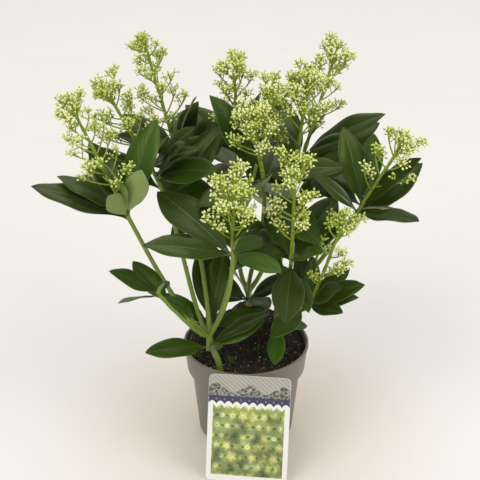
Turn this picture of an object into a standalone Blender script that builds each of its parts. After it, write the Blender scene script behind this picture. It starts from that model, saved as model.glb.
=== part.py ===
"""Skimmia in its nursery pot: pot, peat, three trunks, boughs and masses of leaves and blossom.

Metres, +Z up. The origin is the centre of the pot's flat underside, and -Y is the plant's front.
"""

import math
from dataclasses import dataclass, replace

import bmesh
import bpy
import numpy as np
from mathutils import Euler, Matrix, Vector
from mathutils.bvhtree import BVHTree

# Pot, a stepped round pot with a collar
POT_HEIGHT = 0.104
POT_RIM_RADIUS = 0.065
POT_COLLAR_FOOT_RADIUS = 0.0612
POT_COLLAR_FOOT_Z = 0.0755
POT_STEP_FOOT = 0.0735
POT_STEP_TOP = 0.0775
POT_LEDGE_RADIUS = 0.0565
POT_BASE_RADIUS = 0.0495
POT_EDGE = 0.0022
POT_WALL = 0.0016
POT_FLOOR = 0.0022
POT_LIP = 0.0009
POT_LIP_DEPTH = 0.003
DRAIN_COUNT = 6
DRAIN_RADIUS = 0.004
DRAIN_RING_RADIUS = 0.036
ROUND_STEPS = 28

# Peat, with a mound behind the middle where the root ball stands proud of the rim
GAP = 0.0003
PEAT_LEVEL = 0.096
PEAT_RINGS = 6
PEAT_MOUNDS = (  # x, y, height, spread
    (0.004, 0.040, 0.026, 0.022),
    (-0.045, 0.012, 0.010, 0.018),
    (0.030, 0.014, 0.006, 0.020),
)
PEAT_PAD_RADIUS = 0.011

# Card label that leans on the rim's front
LABEL_WIDTH = 0.082
LABEL_HEIGHT = 0.110
LABEL_THICKNESS = 0.0009
LABEL_CORNER = 0.005
LABEL_SIDE = -0.0005
LABEL_TURN = -7.0
LABEL_LEAN = 19.0

# Wood
TRUNK_RADIUS = 0.0032
TRUNK_FLARE = 1.4
KNUCKLE_RADIUS = 0.0067
TRUNK_POINTS = 12
BOUGH_RADIUS = 0.0020
BOUGH_TIP_RADIUS = 0.0017
BOUGH_POINTS = 11
LIMB_START_PULL = 0.20
LIMB_END_PULL = 0.38
BOUGH_MARGIN = 0.011
STEM_RADIUS = 0.0016
RACHIS_TIP_RADIUS = 0.0011
STEM_POINTS = 8

# Leaves and blossom
GOLDEN_ANGLE = math.radians(137.508)
LEAF_WIDTH_SHARE = (0.30, 0.35)
LEAF_THICKNESS = 0.0012
LEAF_FOLD = 0.15
LEAF_ROOT = 0.0014
LEAF_RINGS = 5
PETIOLE_WIDTH = 0.0024
PETIOLE_SHARE = 0.12
BLADE_SKEW = 1.22
BLADE_FULLNESS = 0.85
SPRAY_REACH = (0.038, 0.026)
SPRAY_ANGLE = (58.0, 46.0)
SPRAY_STALK = 0.0008
SPRAY_BULB = 0.0095
SPRAY_TRIES = (1.0, 0.8, 1.2, 0.6, 1.4, 0.4)
DOME_RADIUS = 0.0165
CLEARANCE = 0.0005

# Leaves turn round their midribs by a share of the angle that would face them to the light in front,
# and by a negative share away from it
LIGHT = (0.0, -0.62, 0.78)
LIGHT_SHARE = 0.6
LIGHT_MOST = 45.0
AWAY_MOST = 70.0

# Heading offset, rise offset (degrees) and length factor of each try at a place for a leaf
LEAF_TRIES = (
    (0, 0, 1.0), (0, 7, 1.0), (0, -7, 1.0), (9, 0, 1.0), (-9, 0, 1.0), (8, 10, 1.0), (-8, 10, 1.0),
    (8, -10, 1.0), (-8, -10, 1.0), (0, 15, 0.95), (0, -15, 0.95), (18, 0, 0.95), (-18, 0, 0.95),
    (18, 14, 0.9), (-18, 14, 0.9), (18, -12, 0.9), (-18, -12, 0.9), (0, 24, 0.85), (28, 8, 0.85),
    (-28, 8, 0.85), (0, 0, 0.8), (30, -8, 0.8), (-30, -8, 0.8),
)


@dataclass(frozen=True)
class Trunk:
    """A trunk from its flat foot on the peat to the knuckle that its boughs leave."""

    name: str
    foot: tuple
    fork: tuple


@dataclass(frozen=True)
class Shoot:
    """A bough and the mass of leaves and blossom that it ends in."""

    name: str
    trunk: str
    heading: float
    steep: float
    whorl: tuple
    crown: tuple
    leaf: float
    rest: int
    turn: float
    seed: int
    low: float
    high: float
    zone: float
    seen: tuple = ()
    branches: int = 9
    flowers: bool = True


@dataclass(frozen=True)
class Leaf:
    """One leaf: its root, the heading and rise of its root-to-tip line, and its sizes."""

    root: np.ndarray
    heading: float
    rise: float
    length: float
    width: float
    bend: float
    roll: float
    lit: float


TRUNKS = (
    Trunk("trunk_left", (-0.027, -0.045), (-0.037, -0.037, 0.132)),
    Trunk("trunk_right", (0.032, 0.015), (0.032, 0.014, 0.128)),
    Trunk("trunk_back", (0.004, 0.040), (0.003, 0.044, 0.138)),
)

SHOOTS = (
    Shoot(
        "far_left", "trunk_left", heading=180, steep=42,
        whorl=(-0.116, -0.030, 0.268), crown=(-0.168, -0.035, 0.395),
        leaf=0.088, rest=3, turn=345, seed=917, low=0, high=65, zone=0.035,
        seen=((-125, 38, 58, 6, -1.0), (-180, 20, 100, 10, 0.2), (165, 25, 80, 6, 0.4), (150, 55, 80, 4),
              (-40, 60, 66, 4, -0.5), (45, 60, 94, 0)),
    ),
    Shoot(
        "left_inner", "trunk_left", heading=130, steep=38,
        whorl=(-0.096, 0.030, 0.290), crown=(-0.143, 0.030, 0.384),
        leaf=0.085, rest=6, turn=10, seed=302, low=25, high=35, zone=0.035,
        seen=((-45, 15, 84, 12), (-75, 45, 70, 0), (-40, 30, 70, 4)),
    ),
    Shoot(
        "top_left", "trunk_left", heading=95, steep=72,
        whorl=(-0.072, 0.075, 0.287), crown=(-0.105, 0.085, 0.414),
        leaf=0.080, rest=7, turn=250, seed=681, low=30, high=30, zone=0.020,
        seen=((-60, 65, 76, 4), (-130, 20, 84, 10)),
    ),
    Shoot(
        "centre_left", "trunk_left", heading=45, steep=45,
        whorl=(0.010, 0.030, 0.290), crown=(0.034, 0.040, 0.380),
        leaf=0.104, rest=5, turn=155, seed=884, low=20, high=70, zone=0.070,
    ),
    Shoot(
        "front", "trunk_left", heading=-35, steep=62,
        whorl=(-0.013, -0.090, 0.255), crown=(-0.012, -0.100, 0.345),
        leaf=0.104, rest=1, turn=55, seed=453, low=-10, high=55, zone=0.020,
        seen=((-160, 15, 88, 4), (-50, 5, 66, 0), (135, 15, 112, 4), (-70, 50, 60, 0), (60, -10, 62, 2)),
    ),
    Shoot(
        "low_left", "trunk_left", heading=-133, steep=34,
        whorl=(-0.085, -0.075, 0.204), crown=(-0.099, -0.087, 0.228),
        leaf=0.057, rest=2, turn=130, seed=482, low=10, high=50, zone=0.020,
        seen=((-150, 35, 58, 0), (-135, 15, 56, 6, -0.4), (40, -45, 60, 8), (70, -5, 30, 0)),
        flowers=False,
    ),
    Shoot(
        "top_centre", "trunk_back", heading=170, steep=60,
        whorl=(-0.007, 0.080, 0.283), crown=(-0.014, 0.090, 0.389),
        leaf=0.096, rest=8, turn=60, seed=980, low=-20, high=45, zone=0.040,
        seen=((-110, 55, 76, 3), (-40, 70, 76, 3)),
    ),
    Shoot(
        "top_right", "trunk_back", heading=20, steep=50,
        whorl=(0.060, 0.100, 0.270), crown=(0.097, 0.120, 0.395),
        leaf=0.104, rest=5, turn=95, seed=11, low=5, high=65, zone=0.060,
        seen=((-10, 30, 98, 0), (-55, 30, 80, 0)),
    ),
    Shoot(
        "centre", "trunk_back", heading=-90, steep=70,
        whorl=(0.015, 0.000, 0.298), crown=(0.003, 0.000, 0.367),
        leaf=0.088, rest=5, turn=295, seed=153, low=-15, high=25, zone=0.020,
    ),
    Shoot(
        "centre_right", "trunk_right", heading=95, steep=65,
        whorl=(0.052, 0.050, 0.298), crown=(0.062, 0.060, 0.386),
        leaf=0.084, rest=5, turn=60, seed=316, low=10, high=30, zone=0.055,
    ),
    Shoot(
        "far_right", "trunk_right", heading=25, steep=50,
        whorl=(0.115, 0.000, 0.263), crown=(0.158, 0.000, 0.342),
        leaf=0.104, rest=3, turn=225, seed=899, low=20, high=55, zone=0.060,
        seen=((-20, 8, 44, 8, -1.0), (-20, 45, 80, 4), (-50, 15, 84, 14), (130, 0, 76, 4),
              (-130, 40, 84, 12), (75, 50, 72, 0)),
        branches=7,
    ),
    Shoot(
        "front_right", "trunk_right", heading=-100, steep=62,
        whorl=(0.043, -0.050, 0.229), crown=(0.045, -0.060, 0.345),
        leaf=0.104, rest=1, turn=145, seed=725, low=15, high=40, zone=0.020,
        seen=((105, 15, 78, 3), (50, 25, 88, 4), (40, 5, 88, 8), (-65, 30, 60, 4), (-95, -15, 80, 8),
              (115, -15, 62, 4), (-75, -10, 62, 20)),
    ),
    Shoot(
        "low_right", "trunk_right", heading=-25, steep=35,
        whorl=(0.066, -0.030, 0.172), crown=(0.097, -0.045, 0.280),
        leaf=0.068, rest=5, turn=240, seed=451, low=10, high=70, zone=0.020,
        seen=((35, 20, 52, 0), (-20, 25, 60, 6), (-55, 15, 52, 12)),
        branches=7,
    ),
    Shoot(
        "low_right_inner", "trunk_right", heading=-65, steep=20,
        whorl=(0.057, -0.010, 0.170), crown=(0.078, -0.015, 0.234),
        leaf=0.068, rest=2, turn=335, seed=371, low=35, high=70, zone=0.020,
        branches=3,
    ),
    Shoot(
        "left_tuft", "trunk_left", heading=-95, steep=-15,
        whorl=(-0.038, -0.054, 0.127), crown=(-0.039, -0.063, 0.125),
        leaf=0.068, rest=0, turn=225, seed=275, low=-20, high=25, zone=0.020,
        seen=((-155, 5, 66, 3), (-65, 30, 32, 0), (15, 20, 64, 2), (15, 25, 72, 4)),
        flowers=False,
    ),
    Shoot(
        "inner_tuft", "trunk_left", heading=88, steep=8,
        whorl=(-0.036, -0.020, 0.136), crown=(-0.036, -0.012, 0.137),
        leaf=0.080, rest=0, turn=0, seed=512, low=0, high=30, zone=0.020,
        seen=((101, 64, 88, 0), (72, 60, 82, 2), (168, 34, 62, 3), (12, 4, 62, 5)),
        flowers=False,
    ),
    Shoot(
        "right_tuft", "trunk_right", heading=-85, steep=-40,
        whorl=(0.033, 0.002, 0.118), crown=(0.034, -0.005, 0.112),
        leaf=0.045, rest=0, turn=285, seed=722, low=30, high=70, zone=0.060,
        seen=((-95, -16, 52, 0), (25, -20, 40, 3), (95, 30, 56, 5)),
        flowers=False,
    ),
    Shoot(
        "back_tuft", "trunk_back", heading=-92, steep=0,
        whorl=(0.002, 0.024, 0.138), crown=(0.001, 0.015, 0.139),
        leaf=0.060, rest=0, turn=0, seed=64, low=0, high=30, zone=0.020,
        seen=((-150, 30, 66, 0), (-70, 20, 60, 2), (-115, 50, 62, 0), (175, 35, 58, 1), (-15, 30, 56, 1)),
        flowers=False,
    ),
)


def unit(vector):
    """Scale a vector to length 1."""
    return vector / np.linalg.norm(vector)


def direction(heading, rise):
    """Give the unit vector with a heading from +X and a rise above level, in radians."""
    return np.array([
        math.cos(heading) * math.cos(rise),
        math.sin(heading) * math.cos(rise),
        math.sin(rise),
    ])


def material(name, colour, roughness, metallic=0.0):
    """Make a Principled material."""
    made = bpy.data.materials.new(name)
    made.use_nodes = True
    shader = made.node_tree.nodes["Principled BSDF"]
    shader.inputs["Base Color"].default_value = (*colour, 1.0)
    shader.inputs["Roughness"].default_value = roughness
    shader.inputs["Metallic"].default_value = metallic
    return made


def clear_scene():
    """Remove the scene's objects and make the collections for the parts and the cutters."""
    for thing in list(bpy.data.objects):
        bpy.data.objects.remove(thing, do_unlink=True)
    made = []
    for name in ("potted_skimmia", "cutters"):
        collection = bpy.data.collections.new(name)
        bpy.context.scene.collection.children.link(collection)
        made.append(collection)
    return made


def add_mesh_object(name, mesh, collection, finish=None):
    """Put a mesh into a collection as a new object."""
    thing = bpy.data.objects.new(name, mesh)
    collection.objects.link(thing)
    if finish:
        mesh.materials.clear()
        mesh.materials.append(finish)
    return thing


def evaluated_mesh(thing, merge=0.0):
    """Give the mesh that an object's modifiers or bevel make, in world space."""
    bpy.context.view_layer.update()
    graph = bpy.context.evaluated_depsgraph_get()
    mesh = bpy.data.meshes.new_from_object(thing.evaluated_get(graph), depsgraph=graph)
    mesh.transform(thing.matrix_world)
    if merge:
        work = bmesh.new()
        work.from_mesh(mesh)
        bmesh.ops.remove_doubles(work, verts=work.verts, dist=merge)
        work.to_mesh(mesh)
        work.free()
    return mesh


def tube(name, points, radii, sides, collection, finish=None):
    """Make a closed tapering tube along points, with a whole number of sides from 4 up in twos."""
    curve = bpy.data.curves.new(name, "CURVE")
    curve.dimensions = "3D"
    curve.bevel_depth = 1.0
    curve.bevel_resolution = (sides - 4) // 2
    curve.use_fill_caps = True
    spline = curve.splines.new("POLY")
    spline.points.add(len(points) - 1)
    for spot, place, radius in zip(spline.points, points, radii):
        spot.co = (*place, 1.0)
        spot.radius = radius
    guide = bpy.data.objects.new(name + "_guide", curve)
    collection.objects.link(guide)
    mesh = evaluated_mesh(guide, merge=0.000001)
    mesh.name = name
    bpy.data.objects.remove(guide, do_unlink=True)
    thing = add_mesh_object(name, mesh, collection, finish)
    mesh.shade_smooth()
    return thing


def turned(name, profile, collection, finish):
    """Turn a profile of (radius, height) pairs round +Z into a closed solid."""
    work = bmesh.new()
    spots = [work.verts.new((radius, 0.0, height)) for radius, height in profile]
    for first, second in zip(spots, spots[1:]):
        work.edges.new((first, second))
    mesh = bpy.data.meshes.new(name)
    work.to_mesh(mesh)
    work.free()
    thing = add_mesh_object(name, mesh, collection, finish)
    screw = thing.modifiers.new("turn", "SCREW")
    screw.steps = screw.render_steps = ROUND_STEPS
    screw.use_merge_vertices = True
    screw.merge_threshold = 0.00001
    screw.use_smooth_shade = True
    return thing


def pot_inner_radius(height):
    """Give the radius of the pot's inner wall at a height."""
    stations = (
        (POT_FLOOR, POT_BASE_RADIUS - POT_WALL),
        (POT_STEP_FOOT, POT_LEDGE_RADIUS - POT_WALL),
        (POT_STEP_TOP, POT_COLLAR_FOOT_RADIUS - POT_WALL),
        (POT_HEIGHT, POT_RIM_RADIUS - POT_WALL - POT_LIP),
    )
    return float(np.interp(height, [z for z, _ in stations], [r for _, r in stations]))


def make_pot(parts, cutters, finish):
    """Make the pot: a turned wall with a collar, a ledge and a lip, and a floor with drain holes."""
    inner = [(0.0, POT_FLOOR)]
    for height in (POT_FLOOR, POT_STEP_FOOT, POT_STEP_TOP, POT_HEIGHT):
        inner.append((pot_inner_radius(height), height))
    outer = [
        (POT_RIM_RADIUS, POT_HEIGHT),
        (POT_RIM_RADIUS, POT_HEIGHT - POT_LIP_DEPTH),
        (POT_RIM_RADIUS - POT_LIP, POT_HEIGHT - POT_LIP_DEPTH - POT_LIP / 2.0),
        (POT_COLLAR_FOOT_RADIUS, POT_COLLAR_FOOT_Z),
        (POT_LEDGE_RADIUS, POT_STEP_FOOT),
        (POT_BASE_RADIUS, POT_EDGE),
        (POT_BASE_RADIUS - POT_EDGE, 0.0),
        (0.0, 0.0),
    ]
    pot = turned("pot", inner + outer, parts, finish)
    for index in range(DRAIN_COUNT):
        angle = 2.0 * math.pi * index / DRAIN_COUNT
        bpy.ops.mesh.primitive_cylinder_add(
            vertices=10, radius=DRAIN_RADIUS, depth=4.0 * POT_FLOOR,
            location=(DRAIN_RING_RADIUS * math.cos(angle), DRAIN_RING_RADIUS * math.sin(angle), 0.0),
        )
        hole = bpy.context.object
        hole.name = f"drain_cutter_{index + 1}"
        for home in list(hole.users_collection):
            home.objects.unlink(hole)
        cutters.objects.link(hole)
        hole.hide_render = True
        hole.display_type = "WIRE"
    cut = pot.modifiers.new("drain_holes", "BOOLEAN")
    cut.operation = "DIFFERENCE"
    cut.operand_type = "COLLECTION"
    cut.collection = cutters
    return pot


def peat_height(x, y):
    """Give the height of the peat's surface, which is a level with round mounds on it."""
    x, y = np.asarray(x, float), np.asarray(y, float)
    height = np.full(x.shape, PEAT_LEVEL)
    for centre_x, centre_y, rise, spread in PEAT_MOUNDS:
        height = height + rise * np.exp(-((x - centre_x) ** 2 + (y - centre_y) ** 2) / (2 * spread ** 2))
    return height


def make_peat(parts, finish):
    """Make the peat that fills the pot, mounded on top and flat under each trunk's foot."""
    bottom = POT_FLOOR + GAP
    rim = pot_inner_radius(PEAT_LEVEL) - GAP
    profile = [(rim * index / PEAT_RINGS, PEAT_LEVEL) for index in range(PEAT_RINGS + 1)]
    for height in (POT_STEP_TOP, POT_STEP_FOOT):
        profile.append((pot_inner_radius(height) - GAP, height + GAP))
    profile += [(pot_inner_radius(bottom) - GAP, bottom), (0.0, bottom)]
    guide = turned("peat_guide", profile, parts, finish)
    mesh = evaluated_mesh(guide)
    bpy.data.objects.remove(guide, do_unlink=True)
    places = np.empty(len(mesh.vertices) * 3)
    mesh.vertices.foreach_get("co", places)
    places = places.reshape(-1, 3)
    radius = np.hypot(places[:, 0], places[:, 1])
    top = (places[:, 2] > PEAT_LEVEL - GAP) & (radius < rim - GAP)
    lift = peat_height(places[:, 0], places[:, 1])
    for trunk in TRUNKS:
        away = np.hypot(places[:, 0] - trunk.foot[0], places[:, 1] - trunk.foot[1])
        lift = np.where(away < PEAT_PAD_RADIUS, peat_height(*trunk.foot), lift)
    places[top, 2] = lift[top]
    mesh.vertices.foreach_set("co", places.ravel())
    mesh.name = "peat"
    return add_mesh_object("peat", mesh, parts, finish)


def rounded_outline(curve, width, height, corner):
    """Draw a rectangle with round corners as one closed outline, its foot on y = 0."""
    half, steps = width / 2.0 - corner, 5
    centres = ((half, corner), (half, height - corner), (-half, height - corner), (-half, corner))
    spline = curve.splines.new("POLY")
    spline.points.add(len(centres) * (steps + 1) - 1)
    spline.use_cyclic_u = True
    for index, point in enumerate(spline.points):
        quarter, step = divmod(index, steps + 1)
        angle = math.pi / 2.0 * (quarter - 1 + step / steps)
        x, y = centres[quarter]
        point.co = (x + corner * math.cos(angle), y + corner * math.sin(angle), 0.0, 1.0)


def make_label(parts, finish):
    """Make the card label: its foot on the table, its back against the front of the rim."""
    curve = bpy.data.curves.new("plant_label", "CURVE")
    curve.dimensions = "2D"
    curve.fill_mode = "BOTH"
    curve.extrude = LABEL_THICKNESS / 2.0
    rounded_outline(curve, LABEL_WIDTH, LABEL_HEIGHT, LABEL_CORNER)
    guide = bpy.data.objects.new("plant_label_guide", curve)
    parts.objects.link(guide)
    turn, lean = math.radians(LABEL_TURN), math.radians(LABEL_LEAN)
    rim = (POT_RIM_RADIUS + GAP + LABEL_THICKNESS) / math.cos(turn)
    guide.rotation_euler = Euler((math.pi / 2.0 - lean, 0.0, turn))
    guide.location = (LABEL_SIDE, -rim - LABEL_HEIGHT * math.sin(lean), 0.0)
    mesh = evaluated_mesh(guide, merge=0.000001)
    bpy.data.objects.remove(guide, do_unlink=True)
    mesh.name = "plant_label"
    lowest = min(spot.co.z for spot in mesh.vertices)
    mesh.transform(Matrix.Translation((0.0, 0.0, GAP - lowest)))
    return add_mesh_object("plant_label", mesh, parts, finish)


def surface_tree(mesh):
    """Give the search tree of a mesh's faces."""
    places = [spot.co.copy() for spot in mesh.vertices]
    return BVHTree.FromPolygons(places, [tuple(face.vertices) for face in mesh.polygons])


def trunk_foot_z(trunk, peat_tree):
    """Give the lowest height at which the trunk's flat foot clears the peat."""
    reach = TRUNK_RADIUS * TRUNK_FLARE
    highest = 0.0
    for ring in (0.0, 0.5, 1.0):
        for step in range(16):
            angle = 2.0 * math.pi * step / 16
            start = Vector((
                trunk.foot[0] + ring * reach * math.cos(angle),
                trunk.foot[1] + ring * reach * math.sin(angle),
                2.0 * POT_HEIGHT,
            ))
            hit = peat_tree.ray_cast(start, Vector((0.0, 0.0, -1.0)))[0]
            highest = max(highest, hit.z)
    return highest + GAP


def make_trunk(trunk, peat_tree, parts, finish):
    """Make a trunk that flares at its foot, leans to its fork and ends in a round knuckle."""
    foot = np.array([*trunk.foot, trunk_foot_z(trunk, peat_tree)])
    fork = np.array(trunk.fork)
    top = fork + np.array([0.0, 0.0, KNUCKLE_RADIUS * 0.96])
    length = top[2] - foot[2]
    upright, level = 1.0 / (TRUNK_POINTS - 1), (fork[2] - foot[2]) / length
    points, radii = [], []
    for share in np.linspace(0.0, 1.0, TRUNK_POINTS):
        bowed = min(max(share - upright, 0.0) / (level - upright), 1.0)
        bowed = bowed * bowed * (3.0 - 2.0 * bowed)
        place = foot + (top - foot) * np.array([bowed, bowed, share])
        radius = TRUNK_RADIUS * (1.0 + (TRUNK_FLARE - 1.0) * math.exp(-share * length / 0.004))
        off = place[2] - fork[2]
        knuckle = math.sqrt(max(KNUCKLE_RADIUS ** 2 - off ** 2, 0.0))
        points.append(place)
        radii.append(max(radius if off < 0.0 else 0.0, knuckle))
    points[0][2] = foot[2]
    return tube(trunk.name, points, radii, 8, parts, finish)


def limb_start(shoot):
    """Give where a shoot leaves its trunk's knuckle, and the way it leaves."""
    trunk = next(item for item in TRUNKS if item.name == shoot.trunk)
    way = direction(math.radians(shoot.heading), math.radians(shoot.steep))
    return np.array(trunk.fork) + way * (KNUCKLE_RADIUS + GAP), way


def limb_path(shoot, count=41):
    """Give points along a shoot, from its trunk to its whorl, and the length run at each."""
    start, way = limb_start(shoot)
    whorl = np.array(shoot.whorl)
    axis = unit(np.array(shoot.crown) - whorl)
    reach = np.linalg.norm(whorl - start)
    first = start + way * reach * LIMB_START_PULL
    second = whorl - axis * reach * LIMB_END_PULL
    t = np.linspace(0.0, 1.0, count)[:, None]
    points = (1 - t) ** 3 * start + 3 * (1 - t) ** 2 * t * first + 3 * (1 - t) * t * t * second + t ** 3 * whorl
    steps = np.linalg.norm(np.diff(points, axis=0), axis=1)
    return points, np.concatenate([[0.0], np.cumsum(steps)])


def station(points, run, length):
    """Give the point at a length along a path, and the path's direction there."""
    place = np.array([np.interp(length, run, points[:, axis]) for axis in range(3)])
    ahead = min(length + 0.002, run[-1])
    there = np.array([np.interp(ahead, run, points[:, axis]) for axis in range(3)])
    behind = np.array([np.interp(ahead - 0.004, run, points[:, axis]) for axis in range(3)])
    return place, unit(there - behind)


def bough_length(shoot, run):
    """Give the length of the bough: it ends below the shoot's lowest leaf."""
    lowest = max([shoot.zone] + [place[3] / 1000.0 for place in shoot.seen])
    return run[-1] - lowest - BOUGH_MARGIN


def planned_leaves(shoot):
    """Plan a shoot's leaves: those of the seen table, then the rest by the golden angle."""
    draw = np.random.default_rng(shoot.seed)
    points, run = limb_path(shoot)
    seen, rest = [], []
    for heading, rise, length, down, *lit in shoot.seen:
        root, _ = station(points, run, run[-1] - down / 1000.0)
        length = length / 1000.0
        width = length * draw.uniform(*LEAF_WIDTH_SHARE)
        bend = math.radians(draw.uniform(14, 30))
        roll = draw.normal(0, 0.12)
        share = lit[0] if lit else LIGHT_SHARE
        seen.append(Leaf(root, math.radians(heading), math.radians(rise), length, width, bend, roll, share))
    for index in range(shoot.rest):
        share = index / max(shoot.rest - 1, 1)
        along = max(run[-1] - 0.004 - shoot.zone * (1 - share) ** 1.5, 0.012)
        root, way = station(points, run, along)
        heading = math.radians(shoot.turn) + index * GOLDEN_ANGLE + draw.normal(0, 0.15)
        rise = math.radians(shoot.low + (shoot.high - shoot.low) * share ** 1.1 + draw.normal(0, 7))
        tilt = math.atan2(math.hypot(way[0], way[1]), way[2])
        rise -= 0.5 * tilt * math.cos(heading - math.atan2(way[1], way[0]))
        length = shoot.leaf * (1.06 - 0.30 * share ** 1.5) * draw.uniform(0.88, 1.08)
        width = length * draw.uniform(*LEAF_WIDTH_SHARE)
        bend = math.radians(draw.uniform(14, 34))
        rest.append(Leaf(root, heading, rise, length, width, bend, draw.normal(0, 0.15), LIGHT_SHARE))
    return seen, rest


def half_width(leaf, along):
    """Give a leaf's half width: a petiole, then a blade that is widest past its middle."""
    blade = np.sin(np.pi * np.clip(along, 0.0, 1.0) ** BLADE_SKEW) ** BLADE_FULLNESS * leaf.width / 2.0
    blade = blade * np.clip((along - 0.02) / 0.25, 0.0, 1.0) ** 0.5
    petiole = np.where((along > 0.0) & (along < PETIOLE_SHARE), PETIOLE_WIDTH / 2.0, 0.0)
    return np.maximum(blade, petiole)


def leaf_points(leaf, along, across, lift):
    """Place points of a leaf: shares along and across the blade, and a height above it in metres."""
    out = direction(leaf.heading, 0.0)
    side = np.array([-out[1], out[0], 0.0])
    angle = leaf.rise + leaf.bend / 2.0
    way = out * math.cos(angle) + np.array([0.0, 0.0, math.sin(angle)])
    face = np.array([0.0, 0.0, math.cos(angle)]) - out * math.sin(angle)
    most = math.radians(LIGHT_MOST if leaf.lit > 0.0 else AWAY_MOST)
    roll = leaf.roll + min(max(leaf.lit * math.atan2(side @ LIGHT, face @ LIGHT), -most), most)
    face = face * math.cos(roll) + side * math.sin(roll)
    side = np.cross(face, way)
    turn = leaf.bend * along
    reach, drop = np.sin(turn) / leaf.bend, (1.0 - np.cos(turn)) / leaf.bend
    middle = leaf.root + leaf.length * (reach[:, None] * way - drop[:, None] * face)
    above = np.cos(turn)[:, None] * face + np.sin(turn)[:, None] * way
    half = half_width(leaf, along) * across
    return middle + half[:, None] * side + (np.abs(half) * LEAF_FOLD + lift)[:, None] * above


def leaf_mesh(leaf, grow=0.0):
    """Make a leaf as a sphere of four meridians drawn out along the blade, its root sunk in the stem."""
    work = bmesh.new()
    bmesh.ops.create_uvsphere(work, u_segments=4, v_segments=LEAF_RINGS, radius=1.0)
    round_spots = np.array([spot.co[:] for spot in work.verts])
    along = np.clip((1.0 - round_spots[:, 2]) / 2.0, 0.0, 1.0)
    ring = np.hypot(round_spots[:, 0], round_spots[:, 1])
    across = np.where(ring > 0.01, round_spots[:, 0] / np.maximum(ring, 0.01), 0.0)
    upright = np.where(ring > 0.01, round_spots[:, 1] / np.maximum(ring, 0.01), 0.0)
    wide = 1.0 + 2.0 * grow / leaf.width
    places = leaf_points(leaf, along, across * wide, upright * (LEAF_THICKNESS / 2.0 + grow))
    root = np.argmin(along)
    inner = leaf_points(leaf, np.array([0.1]), np.zeros(1), np.zeros(1))[0]
    places[root] += unit(places[root] - inner) * LEAF_ROOT
    return finish_loose(work, places, "leaf")


def finish_loose(work, places, name):
    """Move a bmesh's points to their places, turn its faces outwards and make it a mesh."""
    for spot, place in zip(work.verts, places):
        spot.co = place
    bmesh.ops.recalc_face_normals(work, faces=work.faces)
    mesh = bpy.data.meshes.new(name)
    work.to_mesh(mesh)
    work.free()
    return mesh


def spray_mesh(root, way, length, bulb, grow=0.0):
    """Make a flower spray: a stalk that swells to a cluster, from a sphere of four meridians."""
    work = bmesh.new()
    bmesh.ops.create_uvsphere(work, u_segments=4, v_segments=4, radius=1.0)
    spots = np.array([spot.co[:] for spot in work.verts])
    rank = np.round(np.arccos(np.clip(spots[:, 2], -1.0, 1.0)) * 4.0 / np.pi).astype(int)
    along = np.array([-0.05, 0.40, 0.74, 0.95, 1.04])[rank] * length
    radius = np.array([0.0, SPRAY_STALK, bulb, bulb * 0.8, 0.0])[rank] + grow * (rank > 0)
    ring = np.maximum(np.hypot(spots[:, 0], spots[:, 1]), 0.01)
    side = unit(np.cross(way, (0.3, 0.2, 0.93)))
    other = np.cross(way, side)
    places = root + along[:, None] * way
    places = places + (radius * spots[:, 0] / ring)[:, None] * side + (radius * spots[:, 1] / ring)[:, None] * other
    return finish_loose(work, places, "spray")


def planned_sprays(shoot):
    """Plan a shoot's flower sprays by the golden angle: longest low on the head, steeper above."""
    if not shoot.flowers:
        return []
    draw = np.random.default_rng(shoot.seed + 5000)
    whorl, crown = np.array(shoot.whorl), np.array(shoot.crown)
    axis, height = unit(crown - whorl), np.linalg.norm(crown - whorl)
    across = unit(np.array([1.0, 0.0, 0.0]) - axis * axis[0])
    other = np.cross(axis, across)
    first, last = height * 0.12, height - DOME_RADIUS * 1.3
    sprays = []
    for index in range(shoot.branches):
        share = (index + 0.5) / shoot.branches
        heading = math.radians(shoot.turn) + index * GOLDEN_ANGLE + draw.normal(0, 0.15)
        reach = np.interp(share, (0, 1), SPRAY_REACH) * draw.uniform(0.85, 1.12)
        angle = math.radians(np.interp(share, (0, 1), SPRAY_ANGLE))
        root = whorl + axis * (first + (last - first) * share)
        out = across * math.cos(heading) + other * math.sin(heading)
        bulb = SPRAY_BULB * draw.uniform(0.85, 1.1) * (1.0 - 0.2 * share)
        sprays.append((root, out, axis, angle, reach, bulb))
    return sprays


def spray_way(out, axis, angle):
    """Give the direction of a spray that leaves the head's axis at an angle."""
    return out * math.sin(angle) + axis * math.cos(angle)


class Crown:
    """The space that limbs, leaves and sprays have taken, each owned by one object's name."""

    def __init__(self):
        self.taken = []

    def take(self, owner, mesh):
        """Record a mesh's space."""
        corners = np.array([spot.co[:] for spot in mesh.vertices])
        self.taken.append((owner, corners.min(axis=0), corners.max(axis=0), surface_tree(mesh)))

    def is_clear(self, owner, mesh):
        """Say whether a mesh touches nothing that another object owns."""
        corners = np.array([spot.co[:] for spot in mesh.vertices])
        low, high = corners.min(axis=0), corners.max(axis=0)
        tree = surface_tree(mesh)
        for other, other_low, other_high, other_tree in self.taken:
            if other == owner or (low > other_high).any() or (high < other_low).any():
                continue
            if tree.overlap(other_tree):
                return False
        return True

    def place(self, owner, candidates):
        """Take the space of the first candidate that is clear, and give its mesh or None.

        Each candidate is a function that makes the mesh, grown by a clearance or not.
        """
        for candidate in candidates:
            grown = candidate(CLEARANCE)
            clear = self.is_clear(owner, grown)
            bpy.data.meshes.remove(grown)
            if clear:
                mesh = candidate(0.0)
                self.take(owner, mesh)
                return mesh
        return None


def leaf_candidates(leaf):
    """Give a maker for each try at a place for a leaf."""
    for turn, lift, factor in LEAF_TRIES:
        moved = replace(
            leaf, heading=leaf.heading + math.radians(turn), rise=leaf.rise + math.radians(lift),
            length=leaf.length * factor, width=leaf.width * factor,
        )
        yield lambda grow, moved=moved: leaf_mesh(moved, grow)


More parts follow.
